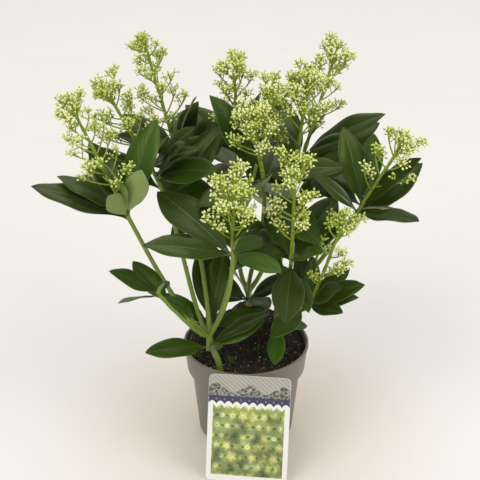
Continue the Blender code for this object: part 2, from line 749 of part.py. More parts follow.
def spray_candidates(root, out, axis, angle, reach, bulb):
    """Give a maker for each try at a place for a flower spray."""
    for factor in SPRAY_TRIES:
        way = spray_way(out, axis, angle * factor)
        yield lambda grow, way=way: spray_mesh(root, way, reach, bulb, grow)


def dome_mesh(shoot):
    """Make the rounded top of a flower head."""
    work = bmesh.new()
    bmesh.ops.create_uvsphere(work, u_segments=6, v_segments=4, radius=1.0)
    spots = np.array([spot.co[:] for spot in work.verts])
    whorl, crown = np.array(shoot.whorl), np.array(shoot.crown)
    axis = unit(crown - whorl)
    across = unit(np.array([1.0, 0.0, 0.0]) - axis * axis[0])
    other = np.cross(axis, across)
    size = DOME_RADIUS * (1.0 if shoot.branches > 6 else 0.45)
    centre = crown - axis * size * 0.8
    flat = np.where(spots[:, 2] > 0, 0.8, 0.6)
    places = centre + size * (
        spots[:, 0:1] * across + spots[:, 1:2] * other + (spots[:, 2] * flat)[:, None] * axis
    )
    return finish_loose(work, places, "dome")


def joined_mass(name, pieces, workshop, parts, finish):
    """Join a mass's stem, leaves and sprays into one closed solid, and drop any loose scrap."""
    stem = add_mesh_object(name, pieces[0], parts, finish)
    for index, mesh in enumerate(pieces[1:]):
        add_mesh_object(f"{name}_piece_{index}", mesh, workshop)
    union = stem.modifiers.new("join", "BOOLEAN")
    union.operation = "UNION"
    union.operand_type = "COLLECTION"
    union.collection = workshop
    mesh = evaluated_mesh(stem)
    for piece in list(workshop.objects):
        bpy.data.objects.remove(piece, do_unlink=True)
    stem.modifiers.clear()
    stem.data = largest_island(mesh, name)
    stem.data.materials.clear()
    stem.data.materials.append(finish)
    return stem


def largest_island(mesh, name):
    """Keep the mesh's largest connected surface, cleaned of doubles, and drop the rest."""
    work = bmesh.new()
    work.from_mesh(mesh)
    bmesh.ops.remove_doubles(work, verts=work.verts, dist=0.000002)
    bmesh.ops.triangulate(work, faces=work.faces)
    left, islands = set(work.faces), []
    while left:
        island, edge = set(), [left.pop()]
        while edge:
            face = edge.pop()
            island.add(face)
            for link in face.edges:
                for near in link.link_faces:
                    if near in left:
                        left.remove(near)
                        edge.append(near)
        islands.append(island)
    keep = max(islands, key=len)
    bmesh.ops.delete(work, geom=[face for face in work.faces if face not in keep], context="FACES")
    kept = bpy.data.meshes.new(name)
    work.to_mesh(kept)
    work.free()
    return kept


def make_boughs(parts, finish):
    """Make each shoot's bough, from its knuckle to just below its lowest leaf."""
    boughs = []
    for shoot in SHOOTS:
        points, run = limb_path(shoot)
        length = bough_length(shoot, run)
        if length < BOUGH_MARGIN:
            continue
        spots = [station(points, run, length * share)[0] for share in np.linspace(0.0, 1.0, BOUGH_POINTS)]
        radii = np.linspace(BOUGH_RADIUS, BOUGH_TIP_RADIUS, BOUGH_POINTS)
        boughs.append(tube("bough_" + shoot.name, spots, radii, 6, parts, finish))
    return boughs


def mass_stem(shoot, workshop):
    """Make the stem inside a mass, from 0.3 mm past its bough's tip to the top of its head."""
    points, run = limb_path(shoot)
    start = max(bough_length(shoot, run), 0.0)
    if start < BOUGH_MARGIN:
        start = 0.0
    spots = [station(points, run, along)[0] for along in np.linspace(start + GAP, run[-1], STEM_POINTS)]
    radii = list(np.linspace(BOUGH_TIP_RADIUS, STEM_RADIUS, STEM_POINTS))
    if shoot.flowers:
        whorl, crown = np.array(shoot.whorl), np.array(shoot.crown)
        spots.append(crown - unit(crown - whorl) * DOME_RADIUS * 0.8)
        radii.append(RACHIS_TIP_RADIUS)
    guide = tube("stem_" + shoot.name, spots, radii, 6, workshop)
    mesh = guide.data
    bpy.data.objects.remove(guide, do_unlink=True)
    return mesh


def make_masses(crown, workshop, parts, finish):
    """Plan every mass's pieces in the crown's free space, and join each mass."""
    pieces = {shoot.name: [mass_stem(shoot, workshop)] for shoot in SHOOTS}
    for shoot in SHOOTS:
        crown.take(shoot.name, pieces[shoot.name][0])
        if shoot.flowers:
            dome = dome_mesh(shoot)
            crown.take(shoot.name, dome)
            pieces[shoot.name].append(dome)
    plans = {shoot.name: planned_leaves(shoot) for shoot in SHOOTS}
    jobs = []
    for shoot in SHOOTS:
        jobs += [(shoot.name, leaf_candidates(leaf)) for leaf in plans[shoot.name][0]]
    for shoot in SHOOTS:
        jobs += [(shoot.name, spray_candidates(*spray)) for spray in planned_sprays(shoot)]
    for shoot in SHOOTS:
        jobs += [(shoot.name, leaf_candidates(leaf)) for leaf in plans[shoot.name][1]]
    skipped = 0
    for name, candidates in jobs:
        mesh = crown.place(name, candidates)
        if mesh:
            pieces[name].append(mesh)
        else:
            skipped += 1
    for shoot in SHOOTS:
        joined_mass("foliage_" + shoot.name, pieces[shoot.name], workshop, parts, finish)
    return len(jobs), skipped


def main():
    """Build the plant and its pot."""
    parts, cutters = clear_scene()
    workshop = bpy.data.collections.new("workshop")
    bpy.context.scene.collection.children.link(workshop)
    finishes = {
        "pot": material("pot_plastic", (0.25, 0.225, 0.205), 0.45),
        "peat": material("peat", (0.018, 0.012, 0.009), 0.95),
        "label": material("label_card", (0.80, 0.80, 0.76), 0.3),
        "bark": material("green_bark", (0.15, 0.27, 0.045), 0.5),
        "foliage": material("foliage", (0.022, 0.062, 0.020), 0.35),
    }
    pot = make_pot(parts, cutters, finishes["pot"])
    peat = make_peat(parts, finishes["peat"])
    label = make_label(parts, finishes["label"])
    peat_tree = surface_tree(peat.data)
    limbs = [make_trunk(trunk, peat_tree, parts, finishes["bark"]) for trunk in TRUNKS]
    limbs += make_boughs(parts, finishes["bark"])
    crown = Crown()
    for thing in [pot, peat, label] + limbs:
        crown.take(thing.name, evaluated_mesh(thing))
    planned, skipped = make_masses(crown, workshop, parts, finishes["foliage"])
    bpy.data.collections.remove(workshop)
    print(f"{planned - skipped} leaves and sprays placed, {skipped} skipped")


main()
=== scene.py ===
"""Looks of a skimmia in its nursery pot: leaves, blossom, green wood, peat, pot, label and studio.

Metres, +Z up. The origin is the centre of the pot's flat underside, and -Y is the plant's front.
"""

from __future__ import annotations

import logging
import math
from collections.abc import Callable
from dataclasses import astuple, dataclass, field, replace
from enum import IntEnum

import bpy
import numpy as np
from mathutils import Euler, Matrix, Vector
from mathutils.kdtree import KDTree

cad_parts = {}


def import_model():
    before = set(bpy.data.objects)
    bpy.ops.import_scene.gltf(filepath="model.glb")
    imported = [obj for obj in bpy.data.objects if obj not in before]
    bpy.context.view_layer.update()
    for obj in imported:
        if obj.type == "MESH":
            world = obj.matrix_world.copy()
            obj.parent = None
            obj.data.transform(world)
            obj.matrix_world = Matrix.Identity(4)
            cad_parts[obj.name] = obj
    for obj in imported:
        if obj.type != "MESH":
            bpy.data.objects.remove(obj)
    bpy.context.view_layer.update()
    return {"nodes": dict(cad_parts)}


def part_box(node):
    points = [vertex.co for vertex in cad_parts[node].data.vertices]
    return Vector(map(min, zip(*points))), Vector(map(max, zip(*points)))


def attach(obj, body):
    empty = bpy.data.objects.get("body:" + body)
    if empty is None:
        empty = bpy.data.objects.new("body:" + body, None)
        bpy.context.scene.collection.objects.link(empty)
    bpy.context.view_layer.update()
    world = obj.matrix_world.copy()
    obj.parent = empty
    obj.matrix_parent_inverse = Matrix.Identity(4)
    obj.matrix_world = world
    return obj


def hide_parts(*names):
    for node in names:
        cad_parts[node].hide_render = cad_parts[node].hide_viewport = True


LOG = logging.getLogger("skimmia")
GOLDEN_ANGLE = math.radians(137.508)
TURN = 2.0 * math.pi
UP = np.array([0.0, 0.0, 1.0])
# The gap between pieces that would touch, and the span of random phases in radians
GAP = 0.0003
PHASE = 6.28
Colour = tuple[float, float, float]


# Small vector helpers


def unit(vectors: np.ndarray) -> np.ndarray:
    """Scale vectors to length 1 along their last axis."""
    return vectors / np.maximum(np.linalg.norm(vectors, axis=-1, keepdims=True), 1e-12)


def swing(first: np.ndarray, second: np.ndarray, angle: np.ndarray | float) -> np.ndarray:
    """Turn a direction towards another at right angles to it, by an angle in radians."""
    return first * np.cos(angle) + second * np.sin(angle)


def ring_angles(count: int) -> np.ndarray:
    """Give even angles round a circle, from 0."""
    return np.linspace(0.0, TURN, count, endpoint=False)


def circle(angle: np.ndarray) -> np.ndarray:
    """Give the points (cos, sin) of the unit circle at angles, along a new last axis."""
    return np.stack([np.cos(angle), np.sin(angle)], axis=-1)


def raised(flat: np.ndarray, height: np.ndarray | float) -> np.ndarray:
    """Put flat points, of shape (..., 2), at heights."""
    return np.concatenate([flat, np.broadcast_to(height, flat.shape[:-1])[..., None]], axis=-1)


def sampled(points: np.ndarray, run: np.ndarray, at: np.ndarray | float) -> np.ndarray:
    """Give a path's points at lengths along it, mixed straight between its stations."""
    return np.stack([np.interp(at, run, line) for line in points.T], axis=-1)


def crosswise(ways: np.ndarray) -> tuple[np.ndarray, np.ndarray]:
    """Give two unit vectors at right angles to each direction and to each other.

    Args:
        ways: unit directions, shape (..., 3).

    Returns:
        Two arrays of the same shape, from cross products with the axis that each set leans on least.
    """
    helper = np.eye(3)[np.argmin(np.abs(ways), axis=-1)]
    side = unit(np.cross(ways, helper))
    return side, np.cross(ways, side)


def bezier(corners: list[np.ndarray], shares: np.ndarray) -> np.ndarray:
    """Give points of Bezier curves by repeated straight mixing of their control points.

    Args:
        corners: control points, each of shape (..., 3).
        shares: places from 0 to 1 along the curve.

    Returns:
        Points of shape (..., len(shares), 3).
    """
    layer = [corner[..., None, :] + 0.0 * shares[:, None] for corner in corners]
    while len(layer) > 1:
        layer = [a + (b - a) * shares[:, None] for a, b in zip(layer, layer[1:])]
    return layer[0]


def tube_points(paths: np.ndarray, radii: np.ndarray, sides: int) -> np.ndarray:
    """Carry circles along paths, with both ends drawn to a point.

    Each ring stands square to the path. Its two axes are cross products of the path's direction with
    one fixed helper axis a tube, so the tube doesn't twist.

    Args:
        paths: shape (tubes, stations, 3).
        radii: shape (tubes, stations) or (tubes, stations, sides).
        sides: corners of each ring.

    Returns:
        Points of shape (tubes, stations + 2, sides, 3).
    """
    ways = unit(np.gradient(paths, axis=1))
    chord = unit(paths[:, -1] - paths[:, 0])
    helper = np.eye(3)[np.argmin(np.abs(chord), axis=-1)][:, None, :]
    side = unit(np.cross(ways, helper))
    other = np.cross(ways, side)
    ring = swing(side[:, :, None], other[:, :, None], ring_angles(sides)[:, None])
    if radii.ndim == 2:
        radii = radii[..., None]
    rings = paths[:, :, None, :] + ring * radii[..., None]
    ends = np.repeat(paths[:, :, None, :], sides, axis=2)
    return np.concatenate([ends[:, :1], rings, ends[:, -1:]], axis=1)


def egg_points(feet: np.ndarray, ways: np.ndarray, lengths: np.ndarray, widths: np.ndarray,
               rings: int, sides: int, blunt: float = 0.62) -> np.ndarray:
    """Make egg shapes that stand on their feet and point along their ways.

    The radius at a share s of the length is half the width times sin(pi * s ** blunt).

    Args:
        feet, ways: shape (eggs, 3).
        lengths, widths: shape (eggs,).
        rings, sides: stations from foot to tip, and corners of each ring.
        blunt: under 1, the egg is widest nearer its foot.

    Returns:
        Points of shape (eggs, rings, sides, 3).
    """
    share = 0.5 - 0.5 * np.cos(np.linspace(0.0, math.pi, rings))
    radius = np.sin(math.pi * share ** blunt)
    side, other = crosswise(ways)
    ring = swing(side[:, None], other[:, None], ring_angles(sides)[:, None])
    middle = feet[:, None, :] + ways[:, None, :] * (lengths[:, None] * share)[..., None]
    out = radius[None, :, None, None] * (widths / 2.0)[:, None, None, None] * ring[:, None]
    return middle[:, :, None, :] + out


# Mesh building


def placed(name: str, data: bpy.types.ID) -> bpy.types.Object:
    """Make an object of a mesh, a lamp or a camera, linked to the scene."""
    thing = bpy.data.objects.new(name, data)
    bpy.context.scene.collection.objects.link(thing)
    return thing


class Sheet:
    """A growing mesh of grids: points, faces, and each face's finish and chart."""

    def __init__(self) -> None:
        """Start with nothing."""
        self.points: list[np.ndarray] = []
        self.corners: list[np.ndarray] = []
        self.sizes: list[np.ndarray] = []
        self.slots: list[np.ndarray] = []
        self.charts: list[np.ndarray] = []
        self.count = 0

    def _add(self, faces: np.ndarray, slots: np.ndarray, chart: np.ndarray) -> None:
        """Keep faces of one corner count with their finishes and chart places."""
        self.corners.append(faces.reshape(-1) + self.count)
        self.sizes.append(np.full(faces.reshape(-1, faces.shape[-1]).shape[0], faces.shape[-1]))
        self.slots.append(slots.reshape(-1))
        self.charts.append(chart.reshape(-1, 2))

    def grid(self, points: np.ndarray, slots: np.ndarray | int = 0, around: bool = True,
             chart: np.ndarray | None = None) -> Sheet:
        """Add surfaces that are functions of two parameters, each a grid of quads.

        A grid that goes around closes on itself across its columns, and its first and last rows are
        each one point, so it is a closed shell; its faces are turned outwards by its volume's sign.

        Args:
            points: shape (copies, rows, columns, 3), or without the first axis for one copy.
            slots: finish of each face, one number or an array that fits (copies, rows - 1, faces).
            around: whether the last column joins the first.
            chart: places on the chart, shape (copies, rows, columns, 2), or None for even shares.

        Returns:
            This sheet.
        """
        points = points.reshape((-1,) + points.shape[-3:])
        copies, rows, columns = points.shape[:3]
        index = np.arange(copies * rows * columns).reshape(copies, rows, columns)
        ahead = np.roll(index, -1, axis=2) if around else index[:, :, 1:]
        here = index if around else index[:, :, :-1]
        quads = np.stack([here[:, :-1], ahead[:, :-1], ahead[:, 1:], here[:, 1:]], axis=-1)
        if chart is None:
            u = np.arange(columns + 1) / (columns if around else columns - 1)
            v = np.arange(rows) / (rows - 1)
            even = np.stack(np.meshgrid(u, v), axis=-1)
            span = quads.shape[2]
            marks = np.stack([even[:-1, :span], even[:-1, 1:span + 1],
                              even[1:, 1:span + 1], even[1:, :span]], axis=2)
        else:
            marks = np.broadcast_to(chart, (copies, rows, columns, 2)).reshape(-1, 2)[quads]
        marks = np.broadcast_to(marks, quads.shape + (2,))
        slots = np.broadcast_to(slots, quads.shape[:3])
        flat = points.reshape(-1, 3)
        if around:
            if self._volume(flat, quads) < 0.0:
                quads, marks = quads[..., ::-1], marks[..., ::-1, :]
                first, last = [0, 1, 3], [0, 2, 3]
            else:
                first, last = [0, 2, 3], [0, 1, 2]
            low, high = quads[:, 0][..., first].copy(), quads[:, -1][..., last].copy()
            low = np.where(low < index[:, 1:2, :1], index[:, :1, :1], low)
            high = np.where(high >= index[:, -1:, :1], index[:, -1:, :1], high)
            self._add(low, slots[:, 0], marks[:, 0][..., first, :])
            self._add(high, slots[:, -1], marks[:, -1][..., last, :])
            quads, slots, marks = quads[:, 1:-1], slots[:, 1:-1], marks[:, 1:-1]
        self._add(quads, slots, marks)
        self.points.append(flat)
        self.count += len(flat)
        return self

    @staticmethod
    def _volume(points: np.ndarray, quads: np.ndarray) -> float:
        """Give the signed volume inside quads, from the tetrahedra of their halves."""
        a, b, c, d = (points[quads[..., corner]] for corner in range(4))
        halves = np.cross(b, c) + np.cross(c, d)
        return float((a * halves).sum())

    def build(self, name: str, finishes: list[bpy.types.Material]) -> bpy.types.Object:
        """Make the mesh and its object.

        Args:
            name: the object's name.
            finishes: materials in the order of the faces' numbers.

        Returns:
            The object, at the origin and linked to the scene.
        """
        points = np.concatenate(self.points)
        used, corners = np.unique(np.concatenate(self.corners), return_inverse=True)
        sizes = np.concatenate(self.sizes)
        mesh = bpy.data.meshes.new(name)
        mesh.vertices.add(len(used))
        mesh.vertices.foreach_set("co", points[used].ravel())
        mesh.loops.add(len(corners))
        mesh.loops.foreach_set("vertex_index", corners.ravel().astype(np.int32))
        mesh.polygons.add(len(sizes))
        mesh.polygons.foreach_set("loop_start", np.concatenate([[0], np.cumsum(sizes)[:-1]]).astype(np.int32))
        mesh.polygons.foreach_set("material_index", np.concatenate(self.slots).astype(np.int32))
        chart = mesh.uv_layers.new(name="chart")
        chart.data.foreach_set("uv", np.concatenate(self.charts).ravel())
        for finish in finishes:
            mesh.materials.append(finish)
        mesh.update(calc_edges=True)
        mesh.validate()
        mesh.shade_smooth()
        return placed(name, mesh)


# Shader building


def maths(operation: str) -> Callable[..., Wire]:
    """Make a method of a wire that adds one Math node, on the wire and the values that follow it."""

    def method(wire: Wire, *others: Wire | float) -> Wire:
        """Add the Math node and give its result."""
        return wire.painter.node("ShaderNodeMath", {"operation": operation}, dict(enumerate((wire, *others))))

    return method


class Wire:
    """A shader value that takes part in Python expressions: each operator adds a Math node.

    A comparison gives 1 where it holds, else 0. The part is what a value has above its whole number.
    """

    __add__, __sub__, __mul__, __truediv__ = map(maths, ("ADD", "SUBTRACT", "MULTIPLY", "DIVIDE"))
    __pow__, __abs__, __lt__, __gt__ = map(maths, ("POWER", "ABSOLUTE", "LESS_THAN", "GREATER_THAN"))
    sine, cosine, arctan2, part, whole = map(maths, ("SINE", "COSINE", "ARCTAN2", "FRACT", "FLOOR"))

    def __init__(self, painter: Painter, socket: bpy.types.NodeSocket) -> None:
        """Keep the painter and the output socket of the value."""
        self.painter, self.socket = painter, socket


class Painter:
    """A material being painted: its node tree, its shader and the method that makes its nodes."""

    def __init__(self, name: str, **uniform: float | tuple) -> None:
        """Start a Principled material.

        Args:
            name: the material's name.
            uniform: values of the shader's sockets that are the same all over, with _ for a space.
        """
        self.material = bpy.data.materials.new(name)
        self.material.use_nodes = True
        self.tree = self.material.node_tree
        self.shader = self.tree.nodes["Principled BSDF"]
        for key, value in uniform.items():
            socket = self.shader.inputs[key.replace("_", " ")]
            socket.default_value = (*value, 1.0) if socket.type == "RGBA" else value

    def node(self, kind: str, settings: dict | None = None, inputs: dict | None = None,
             output: int | str = 0) -> Wire:
        """Add a node.

        Args:
            kind: the node's type.
            settings: the node's own settings.
            inputs: values or wires for its sockets, by name or number.
            output: the socket that is given back.

        Returns:
            The wire from that output.
        """
        made = self.tree.nodes.new(kind)
        for name, value in (settings or {}).items():
            setattr(made, name, value)
        for key, value in (inputs or {}).items():
            if isinstance(value, Wire):
                self.tree.links.new(value.socket, made.inputs[key])
            else:
                made.inputs[key].default_value = value
        return Wire(self, made.outputs[output])

    def place(self, kind: str = "Object") -> Wire:
        """Give the coordinates of a kind: Object, or UV for the piece's chart."""
        return self.node("ShaderNodeTexCoord", output=kind)

    def mapped(self, **sockets: tuple) -> Wire:
        """Give Object coordinates as a card or streaks see them, through a Mapping node."""
        return self.node("ShaderNodeMapping", {"vector_type": "TEXTURE"}, {"Vector": self.place(), **sockets})

    def axes(self, vector: Wire) -> tuple[Wire, Wire, Wire]:
        """Take a vector apart."""
        split = self.node("ShaderNodeSeparateXYZ", inputs={0: vector}).socket.node
        return tuple(Wire(self, split.outputs[axis]) for axis in range(3))

    def noise(self, scale: float, detail: float = 2.0, vector: Wire | None = None) -> Wire:
        """Give soft noise from 0 to 1, at a number of features a metre on Object coordinates."""
        return self.node("ShaderNodeTexNoise", inputs={
            "Vector": vector or self.place(), "Scale": scale, "Detail": detail,
        })

    def step(self, value: Wire, low: float, high: float) -> Wire:
        """Give a smooth step from 0 at a low value to 1 at a high one."""
        settings = {"interpolation_type": "SMOOTHSTEP"}
        return self.node("ShaderNodeMapRange", settings, {0: value, 1: low, 2: high})

    def mix(self, share: Wire | float, first: Wire | Colour, second: Wire | Colour) -> Wire:
        """Mix two colours by a share."""
        colours = [value if isinstance(value, Wire) else (*value, 1.0) for value in (first, second)]
        return self.node("ShaderNodeMix", {"data_type": "RGBA"}, {0: share, 6: colours[0], 7: colours[1]}, 2)

    def feed(self, socket: str, value: Wire) -> None:
        """Link a value to one of the shader's sockets."""
        self.tree.links.new(value.socket, self.shader.inputs[socket])

    def finish(self, colour: Wire, rough: Wire, height: Wire, distance: float,
               strength: float) -> bpy.types.Material:
        """Feed a colour, a roughness and a bump to the shader.

        Args:
            colour, rough: the base colour and the roughness.
            height: the bump's height, from 0 to 1.
            distance: metres between heights 0 and 1.
            strength: share of the bump that is used.

        Returns:
            The painted material.
        """
        self.feed("Base Color", colour)
        self.feed("Roughness", rough)
        self.feed("Normal", self.node("ShaderNodeBump", inputs={
            "Height": height, "Distance": distance, "Strength": strength,
        }))
        return self.material


# Finishes


@dataclass(frozen=True)
class LeafFinish:
    """The waxy upper face of a leaf: dark mottled green, faint side veins and a grey sheen.

    The veins are crests of a sine wave along the leaf that slants away from the midrib.
    """

    name: str
    dark: Colour
    light: Colour
    rough: float = 0.36
    sheen: Colour = (0.90, 1.0, 0.45)
    vein_pitch: float = 62.0
    vein_slant: float = 46.0
    vein_edge: float = 3.0

    def material(self) -> bpy.types.Material:
        """Paint the finish."""
        painter = Painter(self.name, Specular_IOR_Level=0.36, Specular_Tint=self.sheen)
        across, along, _ = painter.axes(painter.place("UV"))
        half = abs(across - 0.5)
        wave = (along * self.vein_pitch - half * self.vein_slant).sine()
        veins = (wave * 0.5 + 0.5) ** self.vein_edge
        cloud, fine = painter.noise(scale=42.0, detail=3.0), painter.noise(scale=900.0)
        return painter.finish(
            painter.mix(cloud * 0.75 + veins * 0.12, self.dark, self.light),
            cloud * 0.14 + fine * 0.10 + (self.rough - 0.12),
            veins * -0.5 + fine * 0.35 + cloud * 0.6, distance=0.00035, strength=0.5,
        )


@dataclass(frozen=True)
class SoftFinish:
    """A plain plant finish with a little uneven tone: undersides, stalks, buds and rims."""

    name: str
    colour: Colour
    rough: float = 0.5
    grain: float = 300.0
    contrast: float = 0.25
    glow: float = 0.0
    glow_reach: tuple[float, float, float] = (0.0012, 0.0014, 0.0005)
    rough_span: float = 0.16

    def material(self) -> bpy.types.Material:
        """Paint the finish."""
        painter = Painter(self.name, Subsurface_Weight=self.glow, Subsurface_Radius=self.glow_reach)
        tone = painter.noise(self.grain, detail=3.0)
        dark, light = (
            tuple(min(channel * (1.0 + change), 1.0) for channel in self.colour)
            for change in (-self.contrast, self.contrast)
        )
        return painter.finish(
            painter.mix(tone, dark, light),
            tone * self.rough_span + (self.rough - self.rough_span / 2.0),
            tone, distance=0.0002, strength=0.4,
        )


@dataclass(frozen=True)
class BarkFinish:
    """Young green bark: brown near the peat, green above, with fine streaks along the stem."""

    name: str
    foot: Colour
    green: Colour
    fresh: Colour
    foot_height: float = 0.098
    green_height: float = 0.150
    uneven: float = 0.018
    streak_size: tuple[float, float, float] = (0.0011, 0.0011, 0.012)
    spot_share: float = 0.66

    def material(self) -> bpy.types.Material:
        """Paint the finish."""
        painter = Painter(self.name, Specular_IOR_Level=0.45)
        _, _, height = painter.axes(painter.place())
        climb = painter.step(
            height + painter.noise(scale=90.0) * self.uneven, self.foot_height, self.green_height,
        )
        streak = painter.noise(1.0, 3.0, painter.mapped(Scale=self.streak_size))
        spots = painter.noise(scale=700.0) > self.spot_share
        low = painter.mix(streak, self.foot, self.green)
        return painter.finish(
            painter.mix(climb, low, painter.mix(streak, self.green, self.fresh)),
            streak * 0.2 + 0.36,
            streak * 0.7 + spots * 0.4, distance=0.0003, strength=0.6,
        )


@dataclass(frozen=True)
class PotFinish:
    """Moulded taupe plastic: satin, faintly mottled, with fine grain and dusty patches."""

    name: str
    base: Colour
    dusty: Colour
    streak_size: tuple[float, float, float] = (0.006, 0.006, 0.06)

    def material(self) -> bpy.types.Material:
        """Paint the finish."""
        painter = Painter(self.name, Specular_IOR_Level=0.45)
        cloud = painter.noise(scale=28.0, detail=4.0)
        streak = painter.noise(1.0, 3.0, painter.mapped(Scale=self.streak_size))
        grain = painter.noise(scale=1500.0)
        return painter.finish(
            painter.mix(cloud * 0.6 + streak * 0.4, self.base, self.dusty),
            cloud * 0.18 + grain * 0.08 + 0.34,
            grain * 0.5 + streak * 0.5, distance=0.00018, strength=0.5,
        )


@dataclass(frozen=True)
class PeatFinish:
    """Moist peat: near-black with brown fibres and a few ochre and pale specks.

    A speck is the middle of a cell of about 2 mm, where a coarser noise is high.
    """

    name: str
    wet: Colour
    dry: Colour
    speck: Colour
    speck_cells: float = 520.0
    speck_size: float = 0.16
    speck_share: float = 0.58

    def material(self) -> bpy.types.Material:
        """Paint the finish."""
        painter = Painter(self.name, Specular_IOR_Level=0.3)
        lumps, fine = painter.noise(scale=260.0, detail=5.0), painter.noise(scale=1400.0, detail=3.0)
        cells = painter.node("ShaderNodeTexVoronoi", inputs={
            "Vector": painter.place(), "Scale": self.speck_cells,
        })
        specks = (cells < self.speck_size) * (painter.noise(scale=330.0) > self.speck_share)
        earth = painter.mix(lumps * 0.8 + fine * 0.3, self.wet, self.dry)
        return painter.finish(
            painter.mix(specks * 0.8, earth, self.speck),
            fine * 0.3 + 0.66,
            lumps * 0.7 + fine * 0.5, distance=0.0012, strength=0.9,
        )


@dataclass(frozen=True)
class LabelPrint:
    """Printed card: rosettes and leaves in rows under a scalloped violet band and pale stripes.

    The pattern is worked out on the card's own plane, x across and y up from its foot. Clouds and
    dots are given by the edge where they start: a share of noise, or a squared distance.
    """

    name: str
    width: float
    height: float
    centre: tuple[float, float, float]
    turn: tuple[float, float, float]
    margin: float = 0.0050
    foot_margin: float = 0.0065
    band_share: float = 0.725
    band_height: float = 0.0085
    edging: float = 0.0040
    scallop: float = 0.0082
    scallop_depth: float = 0.0032
    dot_rise: float = 0.58
    dot_stretch: float = 0.000067
    dot_edge: float = 0.0000012
    cell: float = 0.0105
    lobes: float = 5.0
    spin: float = 6.0
    half_lobe: float = 3.1
    petal_reach: float = 0.30
    inner_reach: float = 0.20
    eye_reach: float = 0.07
    stripe: float = 0.0042
    mound_gap: float = 0.008
    mound_height: float = 0.0045
    mound_pitch: float = 190.0
    paper: Colour = (0.80, 0.79, 0.76)
    violet: Colour = (0.040, 0.040, 0.085)
    lilac: Colour = (0.16, 0.15, 0.26)
    grey: Colour = (0.27, 0.26, 0.22)
    haze: Colour = (0.52, 0.50, 0.43)
    ash: Colour = (0.045, 0.050, 0.035)
    yellow: Colour = (0.62, 0.60, 0.10)
    lime: Colour = (0.38, 0.47, 0.07)
    cream: Colour = (0.82, 0.80, 0.45)
    leaf: Colour = (0.055, 0.155, 0.045)
    field: Colour = (0.30, 0.37, 0.13)
    shade: Colour = (0.045, 0.080, 0.022)
    glare: Colour = (0.66, 0.68, 0.42)

    @property
    def band_foot(self) -> float:
        """Give the height of the violet band's foot."""
        return self.band_share * self.height

    def rosettes(self, painter: Painter, x: Wire, y: Wire) -> Wire:
        """Colour the field of five-lobed rosettes, each other row half a cell along, with leaf ovals.

        Soft clouds of glare and shade lie over it, the shade deeper near the foot.

        Args:
            painter: the material's painter.
            x, y: place on the card in metres.

        Returns:
            The field's colour.
        """
        row = (y / self.cell).whole()
        column = x / self.cell + row * 0.5
        across, up = column.part() - 0.5, (y / self.cell).part() - 0.5
        chance = painter.node("ShaderNodeTexWhiteNoise", {"noise_dimensions": "2D"}, {
            "Vector": painter.node("ShaderNodeCombineXYZ", inputs={0: column.whole(), 1: row}),
        })
        reach = (across * across + up * up) ** 0.5
        lobes = (up.arctan2(across) + chance * self.spin) * self.lobes
        petals = reach < lobes.cosine() * 0.075 + chance * 0.16 + self.petal_reach
        inner = reach < (lobes + self.half_lobe).cosine() * 0.04 + self.inner_reach
        side = abs(across) - 0.5
        oval = (side * side * 3.2 + up * up * 14.0) < 0.14
        colour = painter.mix(oval, self.field, self.leaf)
        colour = painter.mix(petals, colour, painter.mix(chance, self.lime, self.yellow))
        colour = painter.mix(inner, colour, self.cream)
        colour = painter.mix(reach < self.eye_reach, colour, self.lime)
        colour = painter.mix(painter.noise(95.0, 3.0) * 3.4 - 2.0, colour, self.glare)
        return painter.mix(painter.noise(75.0, 3.0) * 3.2 - y * 8.0 - 0.95, colour, self.shade)

    def stripes(self, painter: Painter, x: Wire, y: Wire) -> Wire:
        """Colour the upper panel: slanting soft stripes that darken to a row of grey mounds."""
        slant = ((x * 0.8 + y) / self.stripe * TURN).sine() * 0.5 + 0.5
        panel = painter.mix(slant * 0.55 + painter.noise(60.0) * 0.3, self.grey, self.haze)
        mounds = (x * self.mound_pitch).cosine() * self.mound_height
        mounds = mounds + (self.band_foot + self.band_height + self.mound_gap)
        shade = painter.mix(painter.noise(420.0, 3.0) * 3.0 - 1.25, self.ash, self.haze)
        return painter.mix(y < mounds, panel, shade)

    def material(self) -> bpy.types.Material:
        """Paint the finish."""
        painter = Painter(self.name, Specular_IOR_Level=0.5, Coat_Weight=0.35, Coat_Roughness=0.12)
        x, y, _ = painter.axes(painter.mapped(Location=self.centre, Rotation=self.turn))
        along = x / self.scallop
        wave = abs((along * math.pi).sine()) * self.scallop_depth
        inside = (abs(x) < self.width / 2.0 - self.margin) * (y > self.foot_margin)
        lower = painter.mix(inside, self.paper, self.rosettes(painter, x, y))
        lower = painter.mix(y > wave + (self.band_foot - self.edging), lower, self.paper)
        aside = (((along + 0.5).part() - 0.5) ** 2.0) * self.dot_stretch
        above = (y - (self.band_foot + self.band_height * self.dot_rise)) ** 2.0
        band = painter.mix(aside + above < self.dot_edge, self.violet, self.lilac)
        colour = painter.mix(y > wave + self.band_foot, lower, band)
        return painter.finish(
            painter.mix(y > self.band_foot + self.band_height, colour, self.stripes(painter, x, y)),
            painter.noise(120.0) * 0.12 + 0.26,
            painter.noise(700.0), distance=0.00008, strength=0.4,
        )


@dataclass(frozen=True)
class StudioFinish:
    """The studio's pale matt sheet, a little uneven, with a painted shadow, darker and warmer, round the pot.
    """

    name: str
    colour: Colour
    stain: Colour
    painted_shadow: Colour
    shadow_from: float = 0.04
    shadow_reach: float = 0.24

    def material(self) -> bpy.types.Material:
        """Paint the finish."""
        painter = Painter(self.name, Roughness=0.85, Specular_IOR_Level=0.2)
        x, y, _ = painter.axes(painter.place())
        # Painted shadow: near the pot's middle the sheet takes a darker, warmer colour, which fades out by
        # the reach.
        far = painter.step((x * x + y * y) ** 0.5, self.shadow_from, self.shadow_reach)
        sheet = painter.mix(painter.noise(scale=7.0, detail=6.0), self.stain, self.colour)
        painter.feed("Base Color", painter.mix(far, self.painted_shadow, sheet))
        return painter.material


# How the plant grows


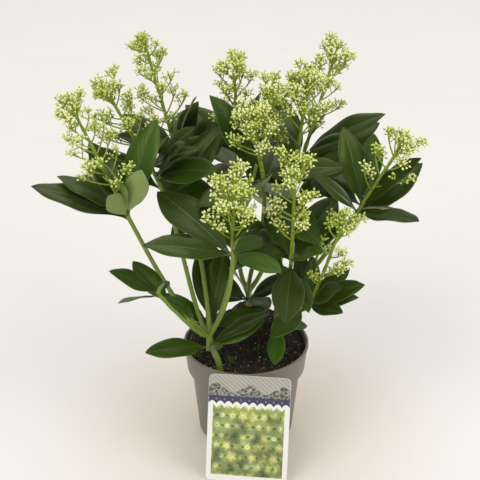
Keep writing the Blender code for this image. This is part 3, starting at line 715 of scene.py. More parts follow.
@dataclass(frozen=True)
class Trunk:
    """A trunk from its flat foot on the peat to the knuckle that its boughs leave."""

    name: str
    foot: tuple[float, float]
    fork: tuple[float, float, float]


@dataclass(frozen=True)
class Shoot:
    """A bough and the mass of leaves and blossom that it ends in; angles in degrees.

    Each leaf of the seen table has a heading, a rise, a length and a drop below the whorl in mm, and
    it may have its own share of the turn to the light.
    """

    name: str
    trunk: str
    heading: float
    steep: float
    whorl: tuple[float, float, float]
    crown: tuple[float, float, float]
    leaf: float
    rest: int
    turn: float
    seed: int
    low: float
    high: float
    zone: float = 0.020
    seen: tuple[tuple[float, ...], ...] = ()
    branches: int = 9
    flowers: bool = True

    @property
    def node(self) -> str:
        """Name the mass's solid."""
        return "foliage_" + self.name

    @property
    def fork(self) -> np.ndarray:
        """Give the middle of the knuckle that the bough leaves."""
        return np.array(next(trunk.fork for trunk in TRUNKS if trunk.name == self.trunk))

    @property
    def axis(self) -> np.ndarray:
        """Give the direction of the flower head."""
        return unit(np.array(self.crown) - np.array(self.whorl))

    @property
    def height(self) -> float:
        """Give the length of the flower head."""
        return float(np.linalg.norm(np.array(self.crown) - np.array(self.whorl)))


@dataclass(frozen=True)
class Leaf:
    """One leaf: its root, the heading and rise of its root-to-tip line, and its sizes."""

    root: np.ndarray
    heading: float
    rise: float
    length: float
    width: float
    bend: float
    roll: float
    lit: float


@dataclass(frozen=True)
class Spray:
    """One side branch of a flower head: its root, direction, reach and the size of its cluster."""

    root: np.ndarray
    way: np.ndarray
    axis: np.ndarray
    reach: float
    bulb: float


TRUNKS = (
    Trunk("trunk_left", (-0.027, -0.045), (-0.037, -0.037, 0.132)),
    Trunk("trunk_right", (0.032, 0.015), (0.032, 0.014, 0.128)),
    Trunk("trunk_back", (0.004, 0.040), (0.003, 0.044, 0.138)),
)

SHOOTS = (
    Shoot(
        "far_left", "trunk_left", heading=180, steep=42,
        whorl=(-0.116, -0.030, 0.268), crown=(-0.168, -0.035, 0.395),
        leaf=0.088, rest=3, turn=345, seed=917, low=0, high=65, zone=0.035,
        seen=((-125, 38, 58, 6, -1.0), (-180, 20, 100, 10, 0.2), (165, 25, 80, 6, 0.4), (150, 55, 80, 4),
              (-40, 60, 66, 4, -0.5), (45, 60, 94, 0)),
    ),
    Shoot(
        "left_inner", "trunk_left", heading=130, steep=38,
        whorl=(-0.096, 0.030, 0.290), crown=(-0.143, 0.030, 0.384),
        leaf=0.085, rest=6, turn=10, seed=302, low=25, high=35, zone=0.035,
        seen=((-45, 15, 84, 12), (-75, 45, 70, 0), (-40, 30, 70, 4)),
    ),
    Shoot(
        "top_left", "trunk_left", heading=95, steep=72,
        whorl=(-0.072, 0.075, 0.287), crown=(-0.105, 0.085, 0.414),
        leaf=0.080, rest=7, turn=250, seed=681, low=30, high=30,
        seen=((-60, 65, 76, 4), (-130, 20, 84, 10)),
    ),
    Shoot(
        "centre_left", "trunk_left", heading=45, steep=45,
        whorl=(0.010, 0.030, 0.290), crown=(0.034, 0.040, 0.380),
        leaf=0.104, rest=5, turn=155, seed=884, low=20, high=70, zone=0.070,
    ),
    Shoot(
        "front", "trunk_left", heading=-35, steep=62,
        whorl=(-0.013, -0.090, 0.255), crown=(-0.012, -0.100, 0.345),
        leaf=0.104, rest=1, turn=55, seed=453, low=-10, high=55,
        seen=((-160, 15, 88, 4), (-50, 5, 66, 0), (135, 15, 112, 4), (-70, 50, 60, 0), (60, -10, 62, 2)),
    ),
    Shoot(
        "low_left", "trunk_left", heading=-133, steep=34,
        whorl=(-0.085, -0.075, 0.204), crown=(-0.099, -0.087, 0.228),
        leaf=0.057, rest=2, turn=130, seed=482, low=10, high=50,
        seen=((-150, 35, 58, 0), (-135, 15, 56, 6, -0.4), (40, -45, 60, 8), (70, -5, 30, 0)),
        flowers=False,
    ),
    Shoot(
        "top_centre", "trunk_back", heading=170, steep=60,
        whorl=(-0.007, 0.080, 0.283), crown=(-0.014, 0.090, 0.389),
        leaf=0.096, rest=8, turn=60, seed=980, low=-20, high=45, zone=0.040,
        seen=((-110, 55, 76, 3), (-40, 70, 76, 3)),
    ),
    Shoot(
        "top_right", "trunk_back", heading=20, steep=50,
        whorl=(0.060, 0.100, 0.270), crown=(0.097, 0.120, 0.395),
        leaf=0.104, rest=5, turn=95, seed=11, low=5, high=65, zone=0.060,
        seen=((-10, 30, 98, 0), (-55, 30, 80, 0)),
    ),
    Shoot(
        "centre", "trunk_back", heading=-90, steep=70,
        whorl=(0.015, 0.000, 0.298), crown=(0.003, 0.000, 0.367),
        leaf=0.088, rest=5, turn=295, seed=153, low=-15, high=25,
    ),
    Shoot(
        "centre_right", "trunk_right", heading=95, steep=65,
        whorl=(0.052, 0.050, 0.298), crown=(0.062, 0.060, 0.386),
        leaf=0.084, rest=5, turn=60, seed=316, low=10, high=30, zone=0.055,
    ),
    Shoot(
        "far_right", "trunk_right", heading=25, steep=50,
        whorl=(0.115, 0.000, 0.263), crown=(0.158, 0.000, 0.342),
        leaf=0.104, rest=3, turn=225, seed=899, low=20, high=55, zone=0.060,
        seen=((-20, 8, 44, 8, -1.0), (-20, 45, 80, 4), (-50, 15, 84, 14), (130, 0, 76, 4),
              (-130, 40, 84, 12), (75, 50, 72, 0)),
        branches=7,
    ),
    Shoot(
        "front_right", "trunk_right", heading=-100, steep=62,
        whorl=(0.043, -0.050, 0.229), crown=(0.045, -0.060, 0.345),
        leaf=0.104, rest=1, turn=145, seed=725, low=15, high=40,
        seen=((105, 15, 78, 3), (50, 25, 88, 4), (40, 5, 88, 8), (-65, 30, 60, 4), (-95, -15, 80, 8),
              (115, -15, 62, 4), (-75, -10, 62, 20)),
    ),
    Shoot(
        "low_right", "trunk_right", heading=-25, steep=35,
        whorl=(0.066, -0.030, 0.172), crown=(0.097, -0.045, 0.280),
        leaf=0.068, rest=5, turn=240, seed=451, low=10, high=70,
        seen=((35, 20, 52, 0), (-20, 25, 60, 6), (-55, 15, 52, 12)),
        branches=7,
    ),
    Shoot(
        "low_right_inner", "trunk_right", heading=-65, steep=20,
        whorl=(0.057, -0.010, 0.170), crown=(0.078, -0.015, 0.234),
        leaf=0.068, rest=2, turn=335, seed=371, low=35, high=70,
        branches=3,
    ),
    Shoot(
        "left_tuft", "trunk_left", heading=-95, steep=-15,
        whorl=(-0.038, -0.054, 0.127), crown=(-0.039, -0.063, 0.125),
        leaf=0.068, rest=0, turn=225, seed=275, low=-20, high=25,
        seen=((-155, 5, 66, 3), (-65, 30, 32, 0), (15, 20, 64, 2), (15, 25, 72, 4)),
        flowers=False,
    ),
    Shoot(
        "inner_tuft", "trunk_left", heading=88, steep=8,
        whorl=(-0.036, -0.020, 0.136), crown=(-0.036, -0.012, 0.137),
        leaf=0.080, rest=0, turn=0, seed=512, low=0, high=30,
        seen=((101, 64, 88, 0), (72, 60, 82, 2), (168, 34, 62, 3), (12, 4, 62, 5)),
        flowers=False,
    ),
    Shoot(
        "right_tuft", "trunk_right", heading=-85, steep=-40,
        whorl=(0.033, 0.002, 0.118), crown=(0.034, -0.005, 0.112),
        leaf=0.045, rest=0, turn=285, seed=722, low=30, high=70, zone=0.060,
        seen=((-95, -16, 52, 0), (25, -20, 40, 3), (95, 30, 56, 5)),
        flowers=False,
    ),
    Shoot(
        "back_tuft", "trunk_back", heading=-92, steep=0,
        whorl=(0.002, 0.024, 0.138), crown=(0.001, 0.015, 0.139),
        leaf=0.060, rest=0, turn=0, seed=64, low=0, high=30,
        seen=((-150, 30, 66, 0), (-70, 20, 60, 2), (-115, 50, 62, 0), (175, 35, 58, 1), (-15, 30, 56, 1)),
        flowers=False,
    ),
)

# Heading offset, rise offset (degrees) and length factor of each try at a place for a leaf
LEAF_TRIES = (
    (0, 0, 1.0), (0, 7, 1.0), (0, -7, 1.0), (9, 0, 1.0), (-9, 0, 1.0), (8, 10, 1.0), (-8, 10, 1.0),
    (8, -10, 1.0), (-8, -10, 1.0), (0, 15, 0.95), (0, -15, 0.95), (18, 0, 0.95), (-18, 0, 0.95),
    (18, 14, 0.9), (-18, 14, 0.9), (18, -12, 0.9), (-18, -12, 0.9), (0, 24, 0.85), (28, 8, 0.85),
    (-28, 8, 0.85), (0, 0, 0.8), (30, -8, 0.8), (-30, -8, 0.8),
)
SPRAY_TRIES = (1.0, 0.8, 1.2, 0.6, 1.4, 0.4)


@dataclass
class Growth:
    """The rule that the plant grows by, which its solids follow too.

    Each shoot plans its leaves and sprays from its own seed. The solids took the first try at each
    place that was clear of the rest, so a leaf or spray is kept here as the try whose tip is a corner
    of the mass's solid, and left out where no try is. Angles are in degrees. A span of two numbers is
    drawn from evenly, but the reach and angle of sprays run from a head's foot to its top.
    """

    nodes: dict[str, bpy.types.Object]
    knuckle_radius: float = 0.0067
    start_pull: float = 0.20
    end_pull: float = 0.38
    station_step: float = 0.002
    top_gap: float = 0.004
    foot_gap: float = 0.012
    heading_spread: float = 0.15
    rise_spread: float = 7.0
    rise_power: float = 1.1
    sag: float = 0.5
    low_length: float = 1.06
    length_fall: float = 0.30
    length_spread: tuple[float, float] = (0.88, 1.08)
    width_share: tuple[float, float] = (0.30, 0.35)
    seen_bend: tuple[float, float] = (14, 30)
    rest_bend: tuple[float, float] = (14, 34)
    seen_roll: float = 0.12
    rest_roll: float = 0.15
    fold: float = 0.15
    petiole_width: float = 0.0024
    petiole_share: float = 0.12
    blade_start: float = 0.02
    blade_rise: float = 0.25
    skew: float = 1.22
    fullness: float = 0.85
    rachis_foot: float = 0.12
    rachis_top: float = 1.3
    spray_reach: tuple[float, float] = (0.038, 0.026)
    spray_angle: tuple[float, float] = (58.0, 46.0)
    spray_spread: tuple[float, float] = (0.85, 1.12)
    spray_bulb: float = 0.0095
    bulb_spread: tuple[float, float] = (0.85, 1.1)
    bulb_fall: float = 0.2
    spray_tip: float = 1.04
    dome_radius: float = 0.0165
    tip_slack: float = 0.0001
    spray_seed: int = 5000
    light: tuple[float, float, float] = (0.0, -0.62, 0.78)
    light_share: float = 0.6
    light_most: float = 45.0
    away_most: float = 70.0
    breadth: float = 1.12

    def limb_path(self, shoot: Shoot, count: int = 41) -> tuple[np.ndarray, np.ndarray]:
        """Give points along a shoot on a Bezier curve, and the length run at each."""
        level = raised(circle(math.radians(shoot.heading)), 0.0)
        way = swing(level, UP, math.radians(shoot.steep))
        start, whorl = shoot.fork + way * (self.knuckle_radius + GAP), np.array(shoot.whorl)
        reach = np.linalg.norm(whorl - start)
        first, second = start + way * reach * self.start_pull, whorl - shoot.axis * reach * self.end_pull
        points = bezier([start, first, second, whorl], np.linspace(0.0, 1.0, count))
        steps = np.linalg.norm(np.diff(points, axis=0), axis=1)
        return points, np.concatenate([[0.0], np.cumsum(steps)])

    def station(self, points: np.ndarray, run: np.ndarray, length: float) -> tuple[np.ndarray, np.ndarray]:
        """Give a place on a path.

        Args:
            points, run: the path's stations and the length run at each.
            length: how far along the path the place is.

        Returns:
            The point there and the path's direction.
        """
        ahead = min(length + self.station_step, run[-1])
        there, behind = (sampled(points, run, at) for at in (ahead, ahead - 2.0 * self.station_step))
        return sampled(points, run, length), unit(there - behind)

    def planned_leaves(self, shoot: Shoot) -> list[Leaf]:
        """Plan a shoot's leaves: those of the seen table, then the rest by the golden angle."""
        draw = np.random.default_rng(shoot.seed)
        points, run = self.limb_path(shoot)
        leaves = []
        for heading, rise, length, down, *lit in shoot.seen:
            root, _ = self.station(points, run, run[-1] - down / 1000.0)
            leaves.append(self._leaf(
                root, math.radians(heading), math.radians(rise), length / 1000.0,
                self.seen_bend, self.seen_roll, lit[0] if lit else self.light_share, draw,
            ))
        for index in range(shoot.rest):
            share = index / max(shoot.rest - 1, 1)
            along = max(run[-1] - self.top_gap - shoot.zone * (1 - share) ** 1.5, self.foot_gap)
            root, way = self.station(points, run, along)
            heading = math.radians(shoot.turn) + index * GOLDEN_ANGLE + draw.normal(0, self.heading_spread)
            rise = shoot.low + (shoot.high - shoot.low) * share ** self.rise_power
            rise = math.radians(rise + draw.normal(0, self.rise_spread))
            tilt = math.atan2(math.hypot(way[0], way[1]), way[2])
            rise -= self.sag * tilt * math.cos(heading - math.atan2(way[1], way[0]))
            length = shoot.leaf * (self.low_length - self.length_fall * share ** 1.5)
            length *= draw.uniform(*self.length_spread)
            leaves.append(self._leaf(
                root, heading, rise, length, self.rest_bend, self.rest_roll, self.light_share, draw,
            ))
        return leaves

    def _leaf(self, root: np.ndarray, heading: float, rise: float, length: float,
              bend: tuple[float, float], roll: float, lit: float, draw: np.random.Generator) -> Leaf:
        """Plan a leaf, whose width, bend and roll are drawn in this order.

        Args:
            root, heading, rise, length: the leaf's own, its angles in radians.
            bend: the span of its bend in degrees.
            roll: the spread of its roll in radians.
            lit: its share of the turn to the light.
            draw: the shoot's random numbers.

        Returns:
            The leaf.
        """
        return Leaf(
            root, heading, rise, length, length * draw.uniform(*self.width_share),
            math.radians(draw.uniform(*bend)), draw.normal(0, roll), lit,
        )

    def half_width(self, width: np.ndarray, along: np.ndarray) -> np.ndarray:
        """Give half widths: a petiole, then a blade, a sine of the skewed share along the leaf."""
        blade = np.sin(np.pi * np.clip(along, 0.0, 1.0) ** self.skew) ** self.fullness * width / 2.0
        blade = blade * np.clip((along - self.blade_start) / self.blade_rise, 0.0, 1.0) ** 0.5
        petiole = np.where((along > 0.0) & (along < self.petiole_share), self.petiole_width / 2.0, 0.0)
        return np.maximum(blade, petiole)

    def leaf_points(self, leaves: list[Leaf], along: np.ndarray, across: np.ndarray, lift: np.ndarray,
                    twist: np.ndarray | float = 0.0) -> np.ndarray:
        """Place points of leaves, whose midribs are arcs and whose halves fold up in a V.

        Each leaf is turned round its midrib by its share of the angle that faces it to the light.

        Args:
            leaves: the leaves.
            along: shares from root to tip, shape (rows, columns).
            across: shares of the half width, the same shape.
            lift: metres above the folded blade, shape (leaves, rows, columns).
            twist: turn round the midrib in radians, of a shape that fits.

        Returns:
            Points of shape (leaves, rows, columns, 3).
        """
        root, heading, rise, length, width, bend, roll, lit = (
            np.array(values) for values in zip(*map(astuple, leaves))
        )
        out, side = (raised(circle(heading + turn), 0.0) for turn in (0.0, math.pi / 2.0))
        angle = (rise + bend / 2.0)[:, None]
        way, face = swing(out, UP, angle), swing(UP, -out, angle)
        to_light = np.arctan2(side @ np.array(self.light), face @ np.array(self.light))
        most = np.radians(np.where(lit > 0.0, self.light_most, self.away_most))
        roll = roll + np.clip(to_light * lit, -most, most)
        face = swing(face, side, roll[:, None])
        side = np.cross(face, way)
        way, face, side, root = (item[:, None, None, :] for item in (way, face, side, root))
        bend = bend[:, None, None]
        turn = bend * along
        reach, drop = (part / bend for part in (np.sin(turn), 1.0 - np.cos(turn)))
        size = length[:, None, None, None]
        middle = root + size * (reach[..., None] * way - drop[..., None] * face)
        above = swing(face, way, turn[..., None])
        half = self.half_width(width[:, None, None], along) * across
        height = np.abs(half) * self.fold + lift
        half, height = swing(half, -height, twist), swing(height, half, twist)
        return middle + half[..., None] * side + height[..., None] * above

    def corners(self, shoot: Shoot) -> KDTree:
        """Give the search tree of the corners of a mass's solid."""
        mesh = self.nodes[shoot.node].data
        tree = KDTree(len(mesh.vertices))
        for spot in mesh.vertices:
            tree.insert(spot.co, spot.index)
        tree.balance()
        return tree

    def kept_leaves(self, shoot: Shoot) -> list[Leaf]:
        """Give the leaves that the mass's solid has."""
        corners, kept = self.corners(shoot), []
        end, level = np.ones((1, 1)), np.zeros((1, 1, 1))
        for leaf in self.planned_leaves(shoot):
            tries = [replace(
                leaf, heading=leaf.heading + math.radians(turn), rise=leaf.rise + math.radians(lift),
                length=leaf.length * factor, width=leaf.width * factor,
            ) for turn, lift, factor in LEAF_TRIES]
            tips = self.leaf_points(tries, end, level[0], level)[:, 0, 0]
            kept += [item for item, tip in zip(tries, tips) if corners.find(tip)[2] < self.tip_slack][:1]
        return kept

    def kept_sprays(self, shoot: Shoot) -> list[Spray]:
        """Give the flower sprays that the mass's solid has, longest low on the head."""
        if not shoot.flowers:
            return []
        draw = np.random.default_rng(shoot.seed + self.spray_seed)
        corners, kept = self.corners(shoot), []
        axis = shoot.axis
        across = unit(np.array([1.0, 0.0, 0.0]) - axis * axis[0])
        other = np.cross(axis, across)
        first, last = shoot.height * self.rachis_foot, shoot.height - self.dome_radius * self.rachis_top
        for index in range(shoot.branches):
            share = (index + 0.5) / shoot.branches
            heading = math.radians(shoot.turn) + index * GOLDEN_ANGLE + draw.normal(0, self.heading_spread)
            reach = np.interp(share, (0, 1), self.spray_reach) * draw.uniform(*self.spray_spread)
            angle = math.radians(np.interp(share, (0, 1), self.spray_angle))
            root = np.array(shoot.whorl) + axis * (first + (last - first) * share)
            out = swing(across, other, heading)
            bulb = self.spray_bulb * draw.uniform(*self.bulb_spread) * (1.0 - self.bulb_fall * share)
            ways = [swing(axis, out, angle * factor) for factor in SPRAY_TRIES]
            tips = [root + way * reach * self.spray_tip for way in ways]
            kept += [
                Spray(root, way, axis, reach, bulb)
                for way, tip in zip(ways, tips) if corners.find(tip)[2] < self.tip_slack
            ][:1]
        return kept


# Leaves


class LeafSlot(IntEnum):
    """The finishes of a leaf's faces, in the order of its material slots."""

    DEEP = 0
    MIDDLE = 1
    FRESH = 2
    MIDRIB = 3
    UNDERSIDE = 4
    RIM = 5


@dataclass
class Foliage:
    """All the leaves: closed thin blades with a folded, waved surface, a midrib and a pale rim.

    A leaf's section is a ring of places across it, first along the upper face and then back below.
    """

    growth: Growth
    seed: int = 7
    rows: int = 26
    thickness: float = 0.00042
    petiole_thickness: float = 0.0019
    stalk_end: float = 0.17
    root_depth: float = 0.0014
    rib: float = 0.0005
    rib_half: float = 0.2
    wave: float = 0.0010
    wave_length: float = 0.09
    wave_beats: tuple[float, float] = (1.2, 2.6)
    wave_power: float = 1.6
    blade_start: float = 0.12
    blade_rise: float = 0.2
    blade_fall: float = 0.15
    recurve: float = 0.10
    twist: float = 0.16
    upper: tuple[float, ...] = (
        -1.0, -0.965, -0.74, -0.45, -0.18, -0.028, 0.028, 0.18, 0.45, 0.74, 0.965, 1.0,
    )
    lower: tuple[float, ...] = (0.955, 0.55, 0.11, -0.11, -0.55, -0.955)
    fresh_below: float = 0.215
    fresh_low: float = 0.08
    front: float = -0.02
    # Painted light and shade: how far leaves at the front lean to lighter greens and those behind to deeper
    # ones.
    painted_light_front: float = 0.22
    painted_shade_behind: float = 0.08
    deep_share: float = 0.5
    fresh_share: float = 0.9
    finishes: tuple = (
        LeafFinish("leaf_deep", (0.0120, 0.0255, 0.0030), (0.0350, 0.0600, 0.0075), 0.33),
        LeafFinish("leaf_middle", (0.0150, 0.0395, 0.0038), (0.0420, 0.0820, 0.0080), 0.31),
        LeafFinish("leaf_fresh", (0.0200, 0.0600, 0.0040), (0.0520, 0.1150, 0.0100), 0.31),
        SoftFinish("leaf_midrib", (0.050, 0.090, 0.020), 0.42),
        SoftFinish("leaf_underside", (0.235, 0.310, 0.085), 0.52, 120.0, 0.18),
        SoftFinish("leaf_rim", (0.080, 0.125, 0.030), 0.40),
    )

    def build(self) -> bpy.types.Object:
        """Make every kept leaf in one piece."""
        draw = np.random.default_rng(self.seed)
        leaves = [leaf for shoot in SHOOTS for leaf in self.growth.kept_leaves(shoot)]
        leaves = [replace(leaf, width=leaf.width * self.growth.breadth) for leaf in leaves]
        ring = np.array(self.upper + self.lower)
        share = np.linspace(0.0, 1.0, self.rows)
        share = share ** 1.1 * (1.0 + 0.04 * np.sin(np.pi * share))
        along, across = np.meshgrid(np.clip(share, 0.0, 1.0), ring, indexing="ij")
        lift = self._skin(along, across) + self._waves(leaves, along, across, draw)
        twist = draw.normal(0.0, self.twist, (len(leaves), 1, 1)) * (along - 0.2) * (1.0 - along) * 2.0
        points = self.growth.leaf_points(leaves, along, across, lift, twist)
        inner = points[:, 2].mean(axis=1) - points[:, 0, 0]
        points[:, 0] -= (unit(inner) * self.root_depth)[:, None, :]
        chart = np.stack([0.5 + across * 0.5, along], axis=-1)
        faces = self._faces(leaves, ring, along, draw)
        LOG.info("%d leaves", len(leaves))
        materials = [finish.material() for finish in self.finishes]
        return Sheet().grid(points, faces, chart=chart).build("leaves", materials)

    def _skin(self, along: np.ndarray, across: np.ndarray) -> np.ndarray:
        """Give the skin's height off the blade's middle: half the thickness, rounded, less the rib below."""
        top = np.where(np.arange(across.shape[1]) < len(self.upper), 1.0, -1.0)
        stalk = np.clip(1.0 - along / self.stalk_end, 0.0, 1.0)
        body = (self.thickness + (self.petiole_thickness - self.thickness) * stalk) / 2.0
        rib = np.where((top < 0.0) & (np.abs(across) < self.rib_half), self.rib, 0.0) * (1.0 - 0.8 * along)
        return top * body * (1.0 - across ** 2) ** 0.35 - rib * (along > 0.0)

    def _waves(self, leaves: list[Leaf], along: np.ndarray, across: np.ndarray,
               draw: np.random.Generator) -> np.ndarray:
        """Give the height of ripples along each leaf's edges and of the curl across its halves.

        A ripple is a sine of the share along the leaf times a power of the share across it.

        Args:
            leaves: the leaves.
            along, across: shares along a leaf and across its half, shape (rows, columns).
            draw: the foliage's random numbers.

        Returns:
            Heights in metres, shape (leaves, rows, columns).
        """
        count = len(leaves)
        phase = draw.uniform(0.0, TURN, (2, count, 1, 1))
        beats = draw.uniform(*self.wave_beats, (count, 1, 1))
        size = np.array([leaf.length for leaf in leaves])[:, None, None] / self.wave_length
        edge = np.where(across < 0.0, phase[0], phase[1])
        ripple = np.sin(TURN * beats * along + edge) * np.abs(across) ** self.wave_power
        blade = np.clip((along - self.blade_start) / self.blade_rise, 0.0, 1.0)
        blade = blade * np.clip((1.0 - along) / self.blade_fall, 0.0, 1.0)
        half = self.growth.half_width(np.array([leaf.width for leaf in leaves])[:, None, None], along)
        curl = half * self.recurve * (1.6 * np.abs(across) * (1.0 - np.abs(across)) - across ** 4)
        return (self.wave * size * ripple + curl) * blade

    def _faces(self, leaves: list[Leaf], ring: np.ndarray, along: np.ndarray,
               draw: np.random.Generator) -> np.ndarray:
        """Deal the finishes: a green by leaf, then midrib, underside, rim and petiole by place.

        The greens are drawn at random and fresher low down; leaves at the front lean to lighter greens as
        painted light, those behind to deeper ones as painted shade.

        Args:
            leaves: the leaves.
            ring: the section's places across a leaf.
            along: shares along a leaf, shape (rows, columns).
            draw: the foliage's random numbers.

        Returns:
            The slot of each face, shape (leaves, rows - 1, columns).
        """
        depth, height = np.array([leaf.root[1:] for leaf in leaves]).T
        fresh = draw.uniform(0.0, 1.0, len(leaves)) + self.fresh_low * (height < self.fresh_below)
        # Painted light and shade: front leaves are pushed towards the lighter greens, those behind towards
        # the deeper ones.
        fresh = fresh + np.where(depth < self.front, self.painted_light_front, -self.painted_shade_behind)
        kind = np.digitize(fresh, (self.deep_share, self.fresh_share))
        green = np.choose(kind, (LeafSlot.DEEP, LeafSlot.MIDDLE, LeafSlot.FRESH))
        middle = np.abs(ring + np.roll(ring, -1)) / 2.0
        upper = np.arange(len(ring)) < len(self.upper) - 1
        faces = np.broadcast_to(green[:, None, None], (len(leaves), self.rows - 1, len(ring))).copy()
        faces[:, :, ~upper] = LeafSlot.UNDERSIDE
        faces[:, :, upper & (middle < 0.01)] = LeafSlot.MIDRIB
        faces[:, :, middle > 0.95] = LeafSlot.RIM
        faces[:, along[1:, 0] < self.growth.petiole_share * 0.9] = LeafSlot.MIDRIB
        return faces


# Wood


@dataclass
class Wood:
    """The trunks and boughs, each a tapering tube with leaf scars and fine relief."""

    growth: Growth
    seed: int = 21
    stations: int = 72
    sides: int = 14
    trunk_radius: float = 0.0031
    flare: float = 1.4
    flare_height: float = 0.004
    upright: float = 1.0 / 11.0
    knuckle_radius: float = 0.0034
    knuckle_top: float = 0.96
    top_radius: float = 0.0004
    bough_radius: float = 0.00245
    tip_radius: float = 0.00200
    collar: float = 0.12
    collar_reach: float = 0.008
    scar_gap: float = 0.017
    scar_rise: float = 0.16
    scar_spread: float = 0.0009
    ripple: float = 0.045
    ripple_turn: float = 90.0
    finish: BarkFinish = BarkFinish(
        "green_bark", foot=(0.085, 0.098, 0.024), green=(0.128, 0.190, 0.020), fresh=(0.230, 0.325, 0.042),
    )

    def _tube(self, path: np.ndarray, run: np.ndarray, radius: np.ndarray,
              draw: np.random.Generator) -> np.ndarray:
        """Make a tube with scars as narrow swellings, each off one side, and ripples that wind up it.

        Args:
            path: the middle line, shape (stations, 3).
            run: the length run at each station.
            radius: the plain radius at each station.
            draw: the wood's random numbers.

        Returns:
            The tube's points, as tube_points gives them.
        """
        angle = ring_angles(self.sides)
        factor = np.ones((len(run), self.sides))
        spots = np.arange(draw.uniform(0.3, 1.0) * self.scar_gap, run[-1], self.scar_gap)
        spots = spots + draw.normal(0.0, 0.1 * self.scar_gap, len(spots))
        for index, spot in enumerate(spots):
            ring = np.exp(-((run - spot) / self.scar_spread) ** 2 / 2.0)[:, None]
            factor += self.scar_rise * ring * (0.55 + 0.45 * np.cos(angle - index * GOLDEN_ANGLE))
        for beat in (2, 3, 5):
            phase = angle * beat + draw.uniform(0, PHASE)
            wind = run[:, None] * draw.uniform(-self.ripple_turn, self.ripple_turn)
            factor += self.ripple / beat * np.sin(phase + wind)
        return tube_points(path[None], (radius[:, None] * factor)[None], self.sides)

    def trunk(self, trunk: Trunk, draw: np.random.Generator) -> np.ndarray:
        """Make a trunk that flares at its flat foot and swells to a knuckle at its fork.

        It starts straight up and then leans by a smooth step, as its solid does.
        """
        foot, fork = np.array([*trunk.foot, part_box(trunk.name)[0][2]]), np.array(trunk.fork)
        top = fork + UP * self.knuckle_radius * self.knuckle_top
        share = np.linspace(0.0, 1.0, self.stations)
        length = top[2] - foot[2]
        level = (fork[2] - foot[2]) / length
        bowed = np.clip((share - self.upright) / (level - self.upright), 0.0, 1.0)
        bowed = bowed * bowed * (3.0 - 2.0 * bowed)
        path = foot + (top - foot) * np.stack([bowed, bowed, share], axis=-1)
        flare = (self.flare - 1.0) * np.exp(-share * length / self.flare_height)
        off = path[:, 2] - fork[2]
        knuckle = np.sqrt(np.clip(self.knuckle_radius ** 2 - off ** 2, 0.0, None))
        radius = np.where(off < 0.0, self.trunk_radius * (1.0 + flare), self.top_radius)
        return self._tube(path, share * length, np.maximum(radius, knuckle), draw)

    def bough(self, shoot: Shoot, draw: np.random.Generator) -> np.ndarray:
        """Make a bough from the middle of its knuckle to its whorl."""
        points, run = self.growth.limb_path(shoot)
        points = np.concatenate([[shoot.fork, (shoot.fork + points[0]) / 2.0], points])
        gap = np.linalg.norm(points[2] - shoot.fork)
        run = np.concatenate([[0.0, gap / 2.0], run + gap])
        at = np.linspace(0.0, run[-1], self.stations)
        radius = np.linspace(self.bough_radius, self.tip_radius, self.stations)
        radius = radius * (1.0 + self.collar * np.exp(-at / self.collar_reach))
        return self._tube(sampled(points, run, at), at, radius, draw)

    def build(self) -> bpy.types.Object:
        """Make all the wood in one piece."""
        draw, sheet = np.random.default_rng(self.seed), Sheet()
        for trunk in TRUNKS:
            sheet.grid(self.trunk(trunk, draw))
        for shoot in SHOOTS:
            sheet.grid(self.bough(shoot, draw))
        return sheet.build("stems", [self.finish.material()])


# Blossom


class TwigSlot(IntEnum):
    """The finishes of the flower heads' twigs."""

    RACHIS = 0
    STALK = 1


class BudSlot(IntEnum):
    """The finishes of the buds, dealt by spray, and of their cups."""

    PALE = 0
    CREAM = 1
    GREEN = 2
    CUP = 3


